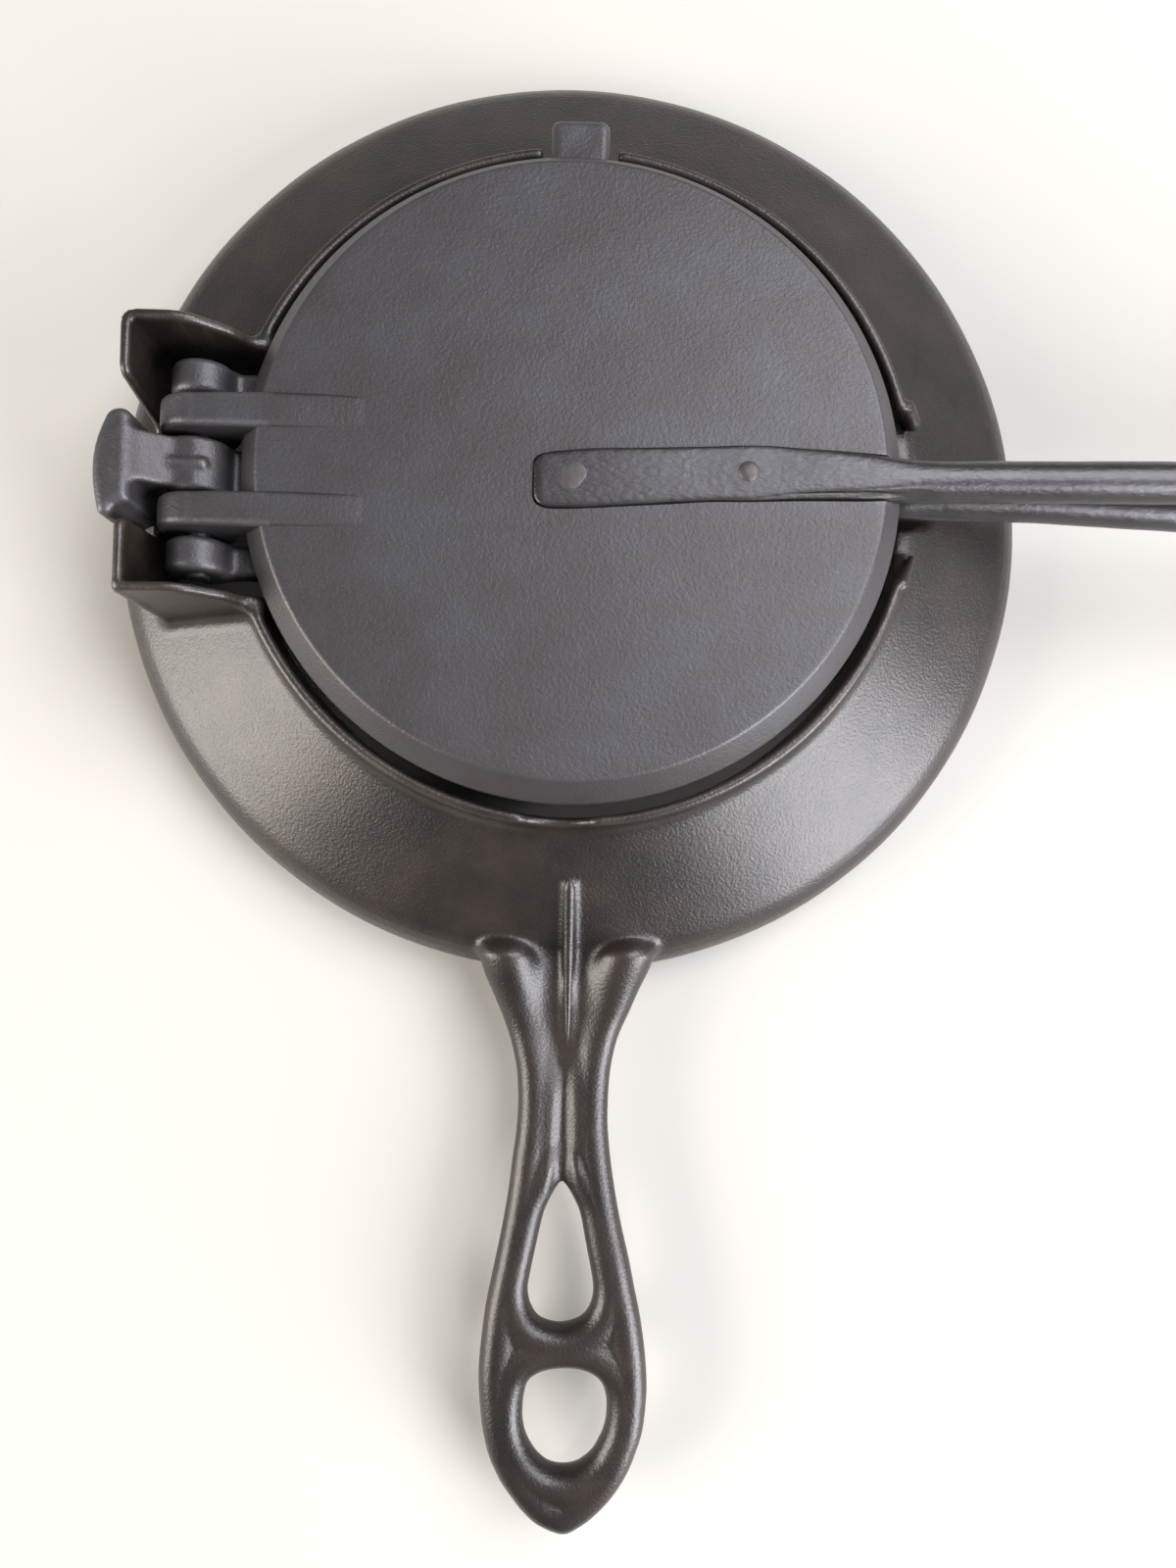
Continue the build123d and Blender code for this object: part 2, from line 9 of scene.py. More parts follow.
import bpy
import numpy as np
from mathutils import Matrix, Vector


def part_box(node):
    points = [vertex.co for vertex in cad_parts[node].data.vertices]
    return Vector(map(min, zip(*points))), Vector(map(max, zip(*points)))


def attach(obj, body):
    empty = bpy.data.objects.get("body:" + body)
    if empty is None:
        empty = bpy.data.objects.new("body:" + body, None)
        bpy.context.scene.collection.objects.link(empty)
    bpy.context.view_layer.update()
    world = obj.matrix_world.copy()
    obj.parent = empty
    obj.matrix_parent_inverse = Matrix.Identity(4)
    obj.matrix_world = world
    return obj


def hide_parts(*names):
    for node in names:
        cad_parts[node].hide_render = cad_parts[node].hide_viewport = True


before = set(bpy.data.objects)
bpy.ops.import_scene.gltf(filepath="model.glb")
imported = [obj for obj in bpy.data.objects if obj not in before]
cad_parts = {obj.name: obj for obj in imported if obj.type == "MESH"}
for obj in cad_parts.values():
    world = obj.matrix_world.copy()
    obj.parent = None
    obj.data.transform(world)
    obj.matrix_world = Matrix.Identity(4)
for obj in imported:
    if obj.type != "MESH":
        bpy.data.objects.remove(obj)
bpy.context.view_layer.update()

bl_info = {
    "name": "Pizzelle Iron",
    "version": (1, 0, 0),
    "blender": (4, 5, 0),
    "location": "View3D > Sidebar > Pizzelle Iron",
    "description": "Models a cast-iron pizzelle iron around its packed parts",
    "category": "Object",
}

MM = 0.001

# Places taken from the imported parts
RING_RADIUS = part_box("base_casting")[1][0] / MM
PLATE_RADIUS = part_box("upper_plate")[1][1] / MM
PIN_LOW, PIN_HIGH = (np.array(corner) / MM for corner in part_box("hinge_pin"))
PIN_X = float(PIN_LOW[0] + PIN_HIGH[0]) / 2
PARTING = float(PIN_LOW[2] + PIN_HIGH[2]) / 2

# Ring: collar, flange and rim
BORE = 85.0
LIP = 3.0
COLLAR_TOP = 46.0
COLLAR_FOOT = 30.0
FLANGE_TOP = 37.5
FLANGE_SLOPE = math.tan(math.radians(26.5))
WALL = 4.0
RIM_WIDTH = 7.0
RIM_HEIGHT = 7.0
WAVINESS = 0.07

# Hinge pocket: middles of its walls, and half their thickness
POCKET_TOP = 61.3
POCKET_FLOOR = 20.0
POCKET_REAR = -106.9
POCKET_MIDDLE = 0.4
POCKET_SIDE = 32.8
HALF_WALL = 1.4

# Grip: rolled edge, web and rib
ROLL_RADIUS = 4.6
ROLL_HEIGHT = 16.0
WEB_TOP = 17.2
WEB_HALF = 1.9
RIDGE_RADIUS = 3.1
RIB_START = -101.6
RIB_X = 0.2

# Plates
FACE_RADIUS = PLATE_RADIUS - 5.3
THICKNESS = 10.0
EDGE_HEIGHT = 3.2
SUNK = 2.4
LAND = 9.0
PLATE_TOP = PARTING + THICKNESS
ARM_Y = 12.2
KNUCKLE_Y = 22.15
GROOVE_DEPTH = 2.2

# Baking pattern
RIB_RINGS = (24.0, 38.0, 52.0, 66.0)
SPOKES = 24
PETALS = 8
RIB_RISE = 1.2

# Handles and rivets
HANDLE_Y = -1.8
STRAP_TOP = THICKNESS + 1.0
FLUSH_RIVET = (-0.6, -2.9)
DOMED_RIVET = (42.5, -1.2)

# Stage
FLOOR_HALF = 1.5
PAPER_COLOUR = "#aaa59d"
ROOM_COLOUR = "#dfe3ea"
ROOM_STRENGTH = 0.27
LAMPS = (
    ("window_left", (-1.25, -0.35, 0.58), 0.9, 36, "#f7f4ef"),
    ("window_right", (1.1, -0.75, 0.62), 0.9, 48, "#f3f6ff"),
    ("skylight", (0.75, 0.45, 1.25), 1.1, 38, "#f3f6ff"),
)
CAMERA_PLACE = (-2.655, -93.313, 308.006)
CAMERA_TURN = (3.548, -1.574, 0.507)
CAMERA_LENS = 24.3


# Solid shapes as distances in millimetres, negative inside

def joined(a, b, fillet):
    """Union of two solids with a concave fillet between them."""
    mix = np.clip(0.5 + 0.5 * (b - a) / fillet, 0, 1)
    return b + (a - b) * mix - fillet * mix * (1 - mix)


def cut(a, b, rounding):
    """Solid a less solid b, with the new edge rounded."""
    return -joined(-a, b, rounding)


def block(p, low, high, rounding):
    """Box with rounded edges between two corners."""
    low, high = np.array(low, float), np.array(high, float)
    q = np.abs(p - (low + high) / 2) - (high - low) / 2 + rounding
    return np.linalg.norm(np.maximum(q, 0), axis=-1) + np.minimum(q.max(-1), 0) - rounding


def rod(p, start, end, radius, end_radius=None):
    """Round bar between two points, tapered when end_radius is given."""
    start, end = np.array(start, float), np.array(end, float)
    along = end - start
    t = np.clip((p - start) @ along / (along @ along), 0, 1)
    width = radius + ((radius if end_radius is None else end_radius) - radius) * t
    return np.linalg.norm(p - start - t[..., None] * along, axis=-1) - width


def slab(flat, across, half, rounding):
    """Flat outline given thickness, with rounded edges. flat is the distance in the outline's plane."""
    q = np.stack([flat + rounding, np.abs(across) - half + rounding], -1)
    return np.linalg.norm(np.maximum(q, 0), axis=-1) + np.minimum(q.max(-1), 0) - rounding


def corner_arcs(corners, steps=7):
    """Outline with rounded corners from (u, v, radius) corners."""
    points = []
    count = len(corners)
    for i, (u, v, radius) in enumerate(corners):
        here = np.array((u, v))
        back = np.array(corners[i - 1][:2]) - here
        ahead = np.array(corners[(i + 1) % count][:2]) - here
        back, ahead = back / np.linalg.norm(back), ahead / np.linalg.norm(ahead)
        half = math.acos(np.clip(back @ ahead, -1, 1)) / 2
        middle = back + ahead
        if radius <= 0 or np.linalg.norm(middle) < 1e-6:
            points.append(here)
            continue
        centre = here + middle / np.linalg.norm(middle) * radius / math.sin(half)
        start = here + back * radius / math.tan(half) - centre
        end = here + ahead * radius / math.tan(half) - centre
        for t in np.linspace(0, 1, steps):
            spoke = start * (1 - t) + end * t
            points.append(centre + spoke / np.linalg.norm(spoke) * radius)
    return np.array(points)


def smooth_loop(points, steps):
    """Smooth closed curve through points."""
    points = np.array(points, float)
    count = len(points)
    out = []
    for i in range(count):
        a, b, c, d = points[[(i + k) % count for k in (-1, 0, 1, 2)]]
        for t in np.arange(steps) / steps:
            out.append(0.5 * (2 * b + (c - a) * t + (2 * a - 5 * b + 4 * c - d) * t**2
                              + (3 * b - a - 3 * c + d) * t**3))
    return np.array(out)


def outline_table(outlines, margin=14.0, step=0.25):
    """Distance to a flat outline as a function of two coordinates. Outlines after the first are holes."""
    everything = np.concatenate(outlines)
    low, high = everything.min(0) - margin, everything.max(0) + margin
    us, vs = (np.arange(low[k], high[k] + step, step) for k in (0, 1))
    u, v = np.meshgrid(us, vs, indexing="ij")
    nearest = np.full(u.shape, 1e9)
    inside = np.zeros(u.shape, bool)
    for loop in outlines:
        for a, b in zip(loop, np.roll(loop, -1, 0)):
            edge = b - a
            t = np.clip(((u - a[0]) * edge[0] + (v - a[1]) * edge[1]) / max(edge @ edge, 1e-9), 0, 1)
            nearest = np.minimum(nearest, (u - a[0] - t * edge[0])**2 + (v - a[1] - t * edge[1])**2)
            if a[1] != b[1]:
                crosses = (a[1] > v) != (b[1] > v)
                inside ^= crosses & (u < edge[0] * (v - a[1]) / edge[1] + a[0])
    table = np.where(inside, -1, 1) * np.sqrt(nearest)

    def distance(u, v):
        i = np.clip((u - low[0]) / step, 0, len(us) - 1.001)
        j = np.clip((v - low[1]) / step, 0, len(vs) - 1.001)
        i0, j0 = i.astype(int), j.astype(int)
        fi, fj = i - i0, j - j0
        near = table[i0, j0] * (1 - fj) + table[i0, j0 + 1] * fj
        far = table[i0 + 1, j0] * (1 - fj) + table[i0 + 1, j0 + 1] * fj
        return near * (1 - fi) + far * fi

    return distance


def skin(shape, low, high, cell):
    """Vertices and quads of the surface of a solid, inside a box, evened out along the surface."""
    low = np.array(low, float)
    size = np.ceil((np.array(high) - low) / cell).astype(int) + 1
    # A coarse pass finds the blocks of cells that the surface may cross
    coarse = 5
    blocks = -(-size // coarse)
    centres = np.stack(np.meshgrid(*[np.arange(n) for n in blocks], indexing="ij"), -1)
    centres = low + (centres * coarse + (coarse - 1) / 2) * cell
    rough = shape(centres.reshape(-1, 3)).reshape(blocks)
    near = np.abs(rough) < coarse * cell * 1.25
    for axis in range(3):
        rough, near = np.repeat(rough, coarse, axis), np.repeat(near, coarse, axis)
    window = tuple(slice(0, n) for n in size)
    field, near = rough[window].astype(np.float32), near[window]
    places = np.argwhere(near)
    for chunk in np.array_split(places, max(1, len(places) // 300000)):
        field[tuple(chunk.T)] = shape(low + chunk * cell)
    # One vertex for each cell that the surface crosses
    solid = field < 0
    corner_sets = [(slice(a, a + size[0] - 1), slice(b, b + size[1] - 1), slice(c, c + size[2] - 1))
                   for a in (0, 1) for b in (0, 1) for c in (0, 1)]
    filled = sum(solid[s].astype(np.uint8) for s in corner_sets)
    cells = np.argwhere((filled > 0) & (filled < 8))
    number = np.full(size - 1, -1)
    number[tuple(cells.T)] = np.arange(len(cells))
    total, hits = np.zeros((len(cells), 3)), np.zeros(len(cells))
    steps = np.array([(a, b, c) for a in (0, 1) for b in (0, 1) for c in (0, 1)])
    for a in range(8):
        for axis in range(3):
            if steps[a][axis]:
                continue
            first, second = cells + steps[a], cells + steps[a]
            second = second + np.eye(3, dtype=int)[axis]
            f0, f1 = field[tuple(first.T)], field[tuple(second.T)]
            change = (f0 < 0) != (f1 < 0)
            t = np.where(change, f0 / np.where(change, f0 - f1, 1), 0)
            point = steps[a] + t[:, None] * np.eye(3)[axis]
            total += point * change[:, None]
            hits += change
    points = low + (cells + total / hits[:, None]) * cell
    # One quad round each grid edge that the surface crosses
    quads = []
    for axis in range(3):
        one, two = (axis + 1) % 3, (axis + 2) % 3
        here = [slice(None)] * 3
        there = [slice(None)] * 3
        here[axis], there[axis] = slice(0, -1), slice(1, None)
        a, b = solid[tuple(here)], solid[tuple(there)]
        for mask, order in ((a & ~b, 1), (b & ~a, -1)):
            edges = np.argwhere(mask)
            inner = (edges[:, one] > 0) & (edges[:, two] > 0)
            inner &= (edges[:, one] < size[one] - 1) & (edges[:, two] < size[two] - 1)
            edges = edges[inner]
            around = []
            for d_one, d_two in ((-1, -1), (0, -1), (0, 0), (-1, 0)):
                at = edges.copy()
                at[:, one] += d_one
                at[:, two] += d_two
                around.append(number[tuple(at.T)])
            quads.append(np.stack(around[::order], 1))
    # Vertices are pulled on to the surface and evened out along it
    quads = np.concatenate(quads)
    owners, count = quads.ravel(), len(points)
    shares = np.maximum(np.bincount(owners, minlength=count), 1)[:, None]
    points = points - pull(shape, points, cell)
    for _ in range(2):
        middles = np.repeat(points[quads].mean(1), 4, 0)
        around = np.stack([np.bincount(owners, middles[:, axis], count) for axis in range(3)], 1)
        points = points + 0.6 * (around / shares - points)
        points = points - pull(shape, points, cell)
    return points, quads


def pull(shape, points, cell):
    """Step that brings points on to the surface of a solid."""
    reach = 0.05
    corners = np.array([(1, -1, -1), (-1, -1, 1), (-1, 1, -1), (1, 1, 1)], float)
    slopes = sum(c * shape(points + c * reach)[:, None] for c in corners) / (4 * reach)
    steep = np.maximum((slopes**2).sum(1), 0.2)
    step = slopes * (shape(points) / steep)[:, None]
    length = np.linalg.norm(step, axis=1)[:, None]
    return step * np.minimum(1, 0.6 * cell / np.maximum(length, 1e-9))


# Meshes

def whole(parts):
    """Vertices and faces of several meshes as one."""
    points, faces, start = [], [], 0
    for part_points, part_faces in parts:
        points.append(np.asarray(part_points, float))
        faces.extend(tuple(int(i) + start for i in face) for face in part_faces)
        start += len(part_points)
    return np.concatenate(points), faces


def piece(name, parts, material, body, nodes, sharp=40):
    """Object made of mesh parts in millimetres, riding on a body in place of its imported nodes."""
    points, faces = whole(parts)
    mesh = bpy.data.meshes.new(name)
    mesh.from_pydata((points * MM).tolist(), [], faces)
    mesh.materials.append(material)
    obj = bpy.data.objects.new(name, mesh)
    bpy.context.collection.objects.link(obj)
    finish_mesh(obj, sharp)
    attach(obj, body)
    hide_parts(*nodes)
    return obj


def thinned(surface, limit):
    """Surface with fewer faces where it is flat, down to a number of triangles."""
    mesh = bpy.data.meshes.new("surface")
    mesh.from_pydata((surface[0] * MM).tolist(), [], surface[1].tolist())
    obj = bpy.data.objects.new("surface", mesh)
    bpy.context.collection.objects.link(obj)
    thin = obj.modifiers.new("thin", "DECIMATE")
    thin.ratio = min(1, limit / (2 * len(surface[1])))
    result = obj.evaluated_get(bpy.context.evaluated_depsgraph_get()).to_mesh()
    points = np.array([v.co for v in result.vertices]) / MM
    faces = [tuple(f.vertices) for f in result.polygons]
    bpy.data.meshes.remove(mesh)
    return points, faces


def finish_mesh(obj, sharp):
    """Smooth shading that keeps edges sharper than a number of degrees."""
    obj.data.validate()
    obj.data.shade_smooth()
    obj.data.set_sharp_from_angle(angle=math.radians(sharp))


def turned(sections, points_around):
    """Loft of closed rings of points, capped at both ends. sections has shape (rings, around, 3)."""
    rings = len(sections)
    points = np.concatenate(sections)
    faces = []
    for i in range(rings - 1):
        for j in range(points_around):
            k = (j + 1) % points_around
            a, b = i * points_around, (i + 1) * points_around
            faces.append((a + j, a + k, b + k, b + j))
    faces.append(tuple(range(points_around))[::-1])
    faces.append(tuple(range((rings - 1) * points_around, rings * points_around)))
    return points, faces


def carved(parts, cutter):
    """Mesh part less a cutter part, both in millimetres."""
    objects = []
    for label, (points, faces) in (("body", whole(parts)), ("cutter", whole([cutter]))):
        mesh = bpy.data.meshes.new(label)
        mesh.from_pydata((points * MM).tolist(), [], faces)
        obj = bpy.data.objects.new(label, mesh)
        bpy.context.collection.objects.link(obj)
        objects.append(obj)
    body, tool = objects
    difference = body.modifiers.new("groove", "BOOLEAN")
    difference.operation = "DIFFERENCE"
    difference.solver = "EXACT"
    difference.object = tool
    result = body.evaluated_get(bpy.context.evaluated_depsgraph_get()).to_mesh()
    points = np.array([v.co for v in result.vertices]) / MM
    faces = [tuple(f.vertices) for f in result.polygons]
    body.to_mesh_clear()
    for obj in objects:
        bpy.data.meshes.remove(obj.data)
    return points, faces


# Materials

def linear(hex_colour):
    """Linear colour from an sRGB hex value."""
    channels = [int(hex_colour[i:i + 2], 16) / 255 for i in (1, 3, 5)]
    return tuple(c / 12.92 if c <= 0.04045 else ((c + 0.055) / 1.055) ** 2.4 for c in channels)


def node(tree, kind, links=None, **settings):
    """Adds a node, sets its properties and inputs, and links its inputs to (node, output) pairs."""
    made = tree.nodes.new(kind)
    for name, value in settings.items():
        setattr(made, name, value)
    for name, value in (links or {}).items():
        if isinstance(value, tuple) and hasattr(value[0], "outputs"):
            tree.links.new(value[0].outputs[value[1]], made.inputs[name])
        else:
            made.inputs[name].default_value = value
    return made


# Width of the darker and lighter patches, in millimetres
PATCH = 22.0


def iron(name, dark, light, metallic, roughness, grain, grain_depth, pits, pit_depth, wear_and_highlight,
         oil=0.0, stretch=(1, 1, 1), edges_plain_within=0.0):
    """Iron surface, made once for each name, with patches from a dark to a light colour.

    grain and pits are sizes in millimetres, and so are their depths. Convex edges are made lighter beyond a
    radius from the middle, partly for worn edges and partly as painted highlight lines; its argument is how
    much lighter an edge is. oil is how much baked oil lies on the iron.
    """
    if name in bpy.data.materials:
        return bpy.data.materials[name]
    material = bpy.data.materials.new(name)
    material.use_nodes = True
    tree = material.node_tree
    shader = tree.nodes["Principled BSDF"]
    shader.inputs["Metallic"].default_value = metallic
    shader.inputs["Coat Weight"].default_value = oil
    shader.inputs["Coat Roughness"].default_value = roughness - 0.04
    place = node(tree, "ShaderNodeTexCoord")
    drawn = node(tree, "ShaderNodeMapping", {"Vector": (place, "Object"), "Scale": stretch})
    patches = node(tree, "ShaderNodeTexNoise", {
        "Vector": (place, "Object"), "Scale": 1 / (PATCH * MM), "Detail": 5.0, "Roughness": 0.62})
    specks = node(tree, "ShaderNodeTexNoise", {
        "Vector": (drawn, "Vector"), "Scale": 1 / (pits * MM), "Detail": 3.0, "Roughness": 0.6})
    pebbles = node(tree, "ShaderNodeTexNoise", {
        "Vector": (drawn, "Vector"), "Scale": 1 / (grain * MM), "Detail": 1.5, "Roughness": 0.5})
    blend = node(tree, "ShaderNodeMapRange", {
        "Value": (patches, "Fac"), "From Min": 0.35, "From Max": 0.68})
    colour = node(tree, "ShaderNodeMix", {
        "Factor": (blend, "Result"), "A": (*dark, 1), "B": (*light, 1)}, data_type="RGBA")
    # Worn edges and painted highlight lines: the more convex, the lighter
    bend = node(tree, "ShaderNodeNewGeometry")
    worn_and_highlit_edges = node(tree, "ShaderNodeMapRange", {
        "Value": (bend, "Pointiness"), "From Min": 0.505, "From Max": 0.56, "To Max": wear_and_highlight})
    in_plan = node(tree, "ShaderNodeVectorMath", {0: (place, "Object"), 1: (1, 1, 0)}, operation="MULTIPLY")
    radius = node(tree, "ShaderNodeVectorMath", {0: (in_plan, "Vector")}, operation="LENGTH")
    beyond = node(tree, "ShaderNodeMath", {0: (radius, "Value"), 1: edges_plain_within * MM}, operation="GREATER_THAN")
    wear_and_highlight_here = node(tree, "ShaderNodeMath", {0: (worn_and_highlit_edges, "Result"), 1: (beyond, "Value")},
                     operation="MULTIPLY")
    # Edge lightening raises the colour's value: part wear, part painted highlight
    gain = node(tree, "ShaderNodeMath", {0: (wear_and_highlight_here, "Value"), 1: 1.0}, operation="ADD")
    bright = node(tree, "ShaderNodeHueSaturation", {
        "Color": (colour, "Result"), "Value": (gain, "Value"), "Saturation": 0.9})
    gloss = node(tree, "ShaderNodeMapRange", {
        "Value": (specks, "Fac"), "From Min": 0.3, "From Max": 0.7,
        "To Min": roughness - 0.06, "To Max": roughness + 0.09})
    coarse = node(tree, "ShaderNodeBump", {"Height": (pebbles, "Fac"), "Distance": grain_depth * MM})
    fine = node(tree, "ShaderNodeBump", {
        "Height": (specks, "Fac"), "Distance": pit_depth * MM, "Normal": (coarse, "Normal")})
    for socket, source, output in (("Base Color", bright, "Color"), ("Roughness", gloss, "Result"),
                                   ("Normal", fine, "Normal")):
        tree.links.new(source.outputs[output], shader.inputs[socket])
    return material


# Sand-cast and seasoned with oil: brown-black, semi-gloss, with an orange-peel grain
def seasoned_cast_iron():
    """The ring's iron."""
    tone = bpy.context.scene.pizzelle_finish
    return iron("seasoned_cast_iron", tone.ring_dark, tone.ring_light, metallic=0.35, roughness=0.37,
                grain=0.75, grain_depth=0.14, pits=0.4, pit_depth=0.03, wear_and_highlight=0.6, oil=0.2)


# Sand-cast and dry: slate grey and satin, with small pits
def dry_cast_iron():
    """The plates' iron. Their flat faces keep an even tone."""
    tone = bpy.context.scene.pizzelle_finish
    return iron("dry_cast_iron", tone.plate_dark, tone.plate_light, metallic=0.5, roughness=0.46,
                grain=0.8, grain_depth=0.13, pits=0.45, pit_depth=0.05, wear_and_highlight=1.2, oil=0.2,
                edges_plain_within=FACE_RADIUS - 2.6)


# Hammered out on an anvil and oiled: dark grey, finer, drawn along the bar
def forged_iron():
    """The handles' iron."""
    tone = bpy.context.scene.pizzelle_finish
    return iron("forged_iron", tone.bar_dark, tone.bar_light, metallic=0.6, roughness=0.34,
                grain=1.1, grain_depth=0.13, pits=0.45, pit_depth=0.05, wear_and_highlight=0.9, oil=0.2,
                stretch=(0.5, 1, 1), edges_plain_within=20)


# Rivet heads hammered flat: a little lighter and browner
def hammered_rivet_iron():
    """The rivets' iron."""
    tone = bpy.context.scene.pizzelle_finish
    return iron("hammered_rivet_iron", tone.rivet_dark, tone.rivet_light, metallic=0.6, roughness=0.48,
                grain=1.6, grain_depth=0.12, pits=0.5, pit_depth=0.04, wear_and_highlight=0.5)


# Base casting

def flange_height(radius):
    """Height of the flange's upper surface at a radius."""
    return FLANGE_TOP - (radius - BORE - LIP) * FLANGE_SLOPE


def under_flange(radius):
    """Height of the flange's lower surface at a radius."""
    return flange_height(radius) - WALL / math.cos(math.atan(FLANGE_SLOPE))


def ring_outline():
    """Section of the ring, collar and rim as (radius, height)."""
    inner = RING_RADIUS - WALL
    lip = BORE + LIP
    return corner_arcs([
        (BORE, COLLAR_FOOT, 0.8),
        (BORE, COLLAR_TOP, 1.3),
        (lip, COLLAR_TOP, 1.3),
        (lip, FLANGE_TOP, 6.0),
        (RING_RADIUS, flange_height(RING_RADIUS), 15.0),
        (RING_RADIUS, 0, 2.6),
        (RING_RADIUS - RIM_WIDTH, 0, 2.6),
        (RING_RADIUS - RIM_WIDTH, RIM_HEIGHT, 1.5),
        (inner, RIM_HEIGHT, 1.2),
        (inner, under_flange(inner), 8.0),
        (lip + 1, under_flange(lip + 1), 1.5),
        (lip + 1, COLLAR_FOOT, 0.8),
    ])


def hollow_outline():
    """Section of the space under the flange."""
    inner = RING_RADIUS - WALL
    return corner_arcs([
        (0, -20, 0), (inner, -20, 0), (inner, under_flange(inner), 8.0),
        (BORE, under_flange(BORE), 0), (0, under_flange(BORE), 0),
    ])


# Grip seen from above, from the photograph: its outline and its two holes
GRIP_RIGHT = [(25.5, -92), (25.4, -104), (25.1, -113), (24.4, -119), (22.4, -125), (19.6, -131),
              (17.2, -136.8), (15.4, -140.8), (13.8, -144.7), (12.3, -151), (11.6, -157), (11.4, -162),
              (11.4, -167), (11.9, -173), (12.8, -180), (14.1, -187.8), (15.7, -195.5), (17.5, -203),
              (18.9, -210), (20.4, -217), (21.7, -226), (22.3, -234), (22.2, -240), (21.3, -247.5),
              (19.6, -252.8), (18.1, -256.6), (16.1, -260.3), (13.4, -264.1), (9.9, -267.8),
              (5.6, -271.2), (0.3, -273.5)]
GRIP_LEFT = [(-6.3, -271.2), (-10.5, -267.8), (-13.6, -264.1), (-16.4, -260.3), (-18.4, -256.6),
             (-20.0, -252.8), (-21.4, -247), (-22.2, -240), (-22.6, -232), (-22.1, -224),
             (-21.1, -215), (-19.6, -207.1), (-18.0, -199.4), (-16.5, -191.6), (-15.3, -183.9),
             (-14.4, -176), (-13.5, -169), (-13.1, -162), (-13.4, -154), (-14.3, -148.7),
             (-15.3, -144.7), (-16.6, -140.8), (-18.1, -136.8), (-20.1, -132), (-22.4, -126.5),
             (-24.4, -119.5), (-25.1, -113), (-25.4, -104), (-25.5, -92)]
TEARDROP = [(-1.0, -182.2), (0.7, -183.8), (2.7, -187.8), (4.1, -191.6), (5.7, -199.4), (7.3, -207.1),
            (7.7, -211.2), (6.9, -215), (4.4, -218.2), (-0.9, -219.8), (-6.2, -218.4), (-8.8, -215),
            (-9.7, -210.9), (-9.2, -207.1), (-7.6, -199.4), (-5.8, -191.6), (-4.4, -187.8), (-2.5, -183.9)]
OVAL = [(0.3, -231.2), (5.5, -231.9), (9.4, -234.2), (11.2, -238), (11.5, -242.5), (10.9, -246.5),
        (9.6, -249.7), (7.5, -253.1), (4, -255.8), (0.3, -256.6), (-3.6, -255.8), (-6.9, -253.1),
        (-9.3, -249.3), (-10.5, -245.5), (-10.7, -241.5), (-10.3, -237.7), (-9.0, -234.1), (-5.2, -231.9)]


def smooth_step(value, start, end):
    """0 before start, 1 after end, smooth between."""
    t = np.clip((value - start) / (end - start), 0, 1)
    return t * t * (3 - 2 * t)


def rib_top(y):
    """Height of the rib's top along the grip's root."""
    return np.interp(-y, [101.5, 116, 127, 136, 148, 160], [32.4, 26.9, 23.2, 20.7, 18.4, 16.6])


def rib_bar():
    """Round-topped rib that runs from the flange down on to the grip."""
    around = 24
    deep = 1.5
    angle = np.linspace(0, 2 * math.pi, around, endpoint=False)
    across, up = np.cos(angle), np.sin(angle)
    sections = []
    for y in np.arange(RIB_START, -160, -1.4):
        start = min(1, 0.55 + (RIB_START - y) / 3)
        half = float(np.interp(-y, [101, 125, 158], [1.6, 1.35, 0.7])) * start
        top = float(rib_top(y)) - 0.9 * (1 - start)
        widening = 1 + 0.16 * (1 - up) / 2
        sections.append(np.stack([RIB_X + half * across * widening, np.full(around, y),
                                  top - deep + deep * up], -1))
    points, faces = turned(sections, around)
    return points, [face[::-1] for face in faces]


def with_saddle(body, p):
    """Adds the lower rod's saddle: a trough in the flange, with metal left below it."""
    radius, z = np.hypot(p[..., 0], p[..., 1]), p[..., 2]
    trough = block(p, (80, HANDLE_Y - 6.3, 33.8), (100, HANDLE_Y + 5.8, 90), 3)
    boss = block(p, (86, HANDLE_Y - 9.5, 30.8), (100, HANDLE_Y + 9.5, 60), 4)
    boss = np.maximum(boss, (z - flange_height(radius) + 1.2) * 0.9)
    return cut(joined(body, boss, 1), trough, 1.2)


def pocket_maker():
    """Gives the function that adds the hinge pocket, with its two side walls and notched rear wall."""
    near_y, far_y = (POCKET_MIDDLE + side * (POCKET_SIDE + HALF_WALL) for side in (-1, 1))
    rear_x = POCKET_REAR - HALF_WALL
    side_wall = outline_table([corner_arcs([
        (rear_x, 22, 0), (rear_x, POCKET_TOP, 2.2), (-93.5, POCKET_TOP, 12), (-84.0, 53.5, 9),
        (-80.2, 47.2, 4), (-76.5, 45.2, 1), (-76.5, 26, 0)])])
    rear_wall = outline_table([corner_arcs([
        (near_y, POCKET_FLOOR, 0), (near_y, POCKET_TOP, 2.4), (-15.8, POCKET_TOP, 3), (-14.4, 38, 1.5),
        (14.2, 38, 1.5), (18.4, POCKET_TOP, 3), (far_y, POCKET_TOP, 2.4), (far_y, POCKET_FLOOR, 0)])])
    corner = outline_table([corner_arcs([
        (rear_x - 0.1, far_y + 0.1, 4.6), (-60, far_y + 0.1, 0), (-60, -60, 0), (rear_x - 0.1, -60, 0)])])

    def with_pocket(body, p, under):
        x, y, z = p[..., 0], p[..., 1], p[..., 2]
        above = z - flange_height(np.hypot(x, y)) - 1
        walls = joined(slab(side_wall(x, z), np.abs(y - POCKET_MIDDLE) - POCKET_SIDE, HALF_WALL, 1.25),
                       slab(rear_wall(y, z), x - POCKET_REAR, HALF_WALL, 1.25), 1.2)
        body = joined(body, np.maximum(walls, -under), 4)
        # The far corner is rounded, above the flange only
        off_corner = np.maximum.reduce([-corner(x, y), x + 101, 27 - y, -above])
        body = np.maximum(body, -off_corner)
        opening = block(p, (POCKET_REAR + 1.6, -30.8, -30), (-66, 31.6, 120), 1)
        return cut(body, opening, 0.8)

    return with_pocket


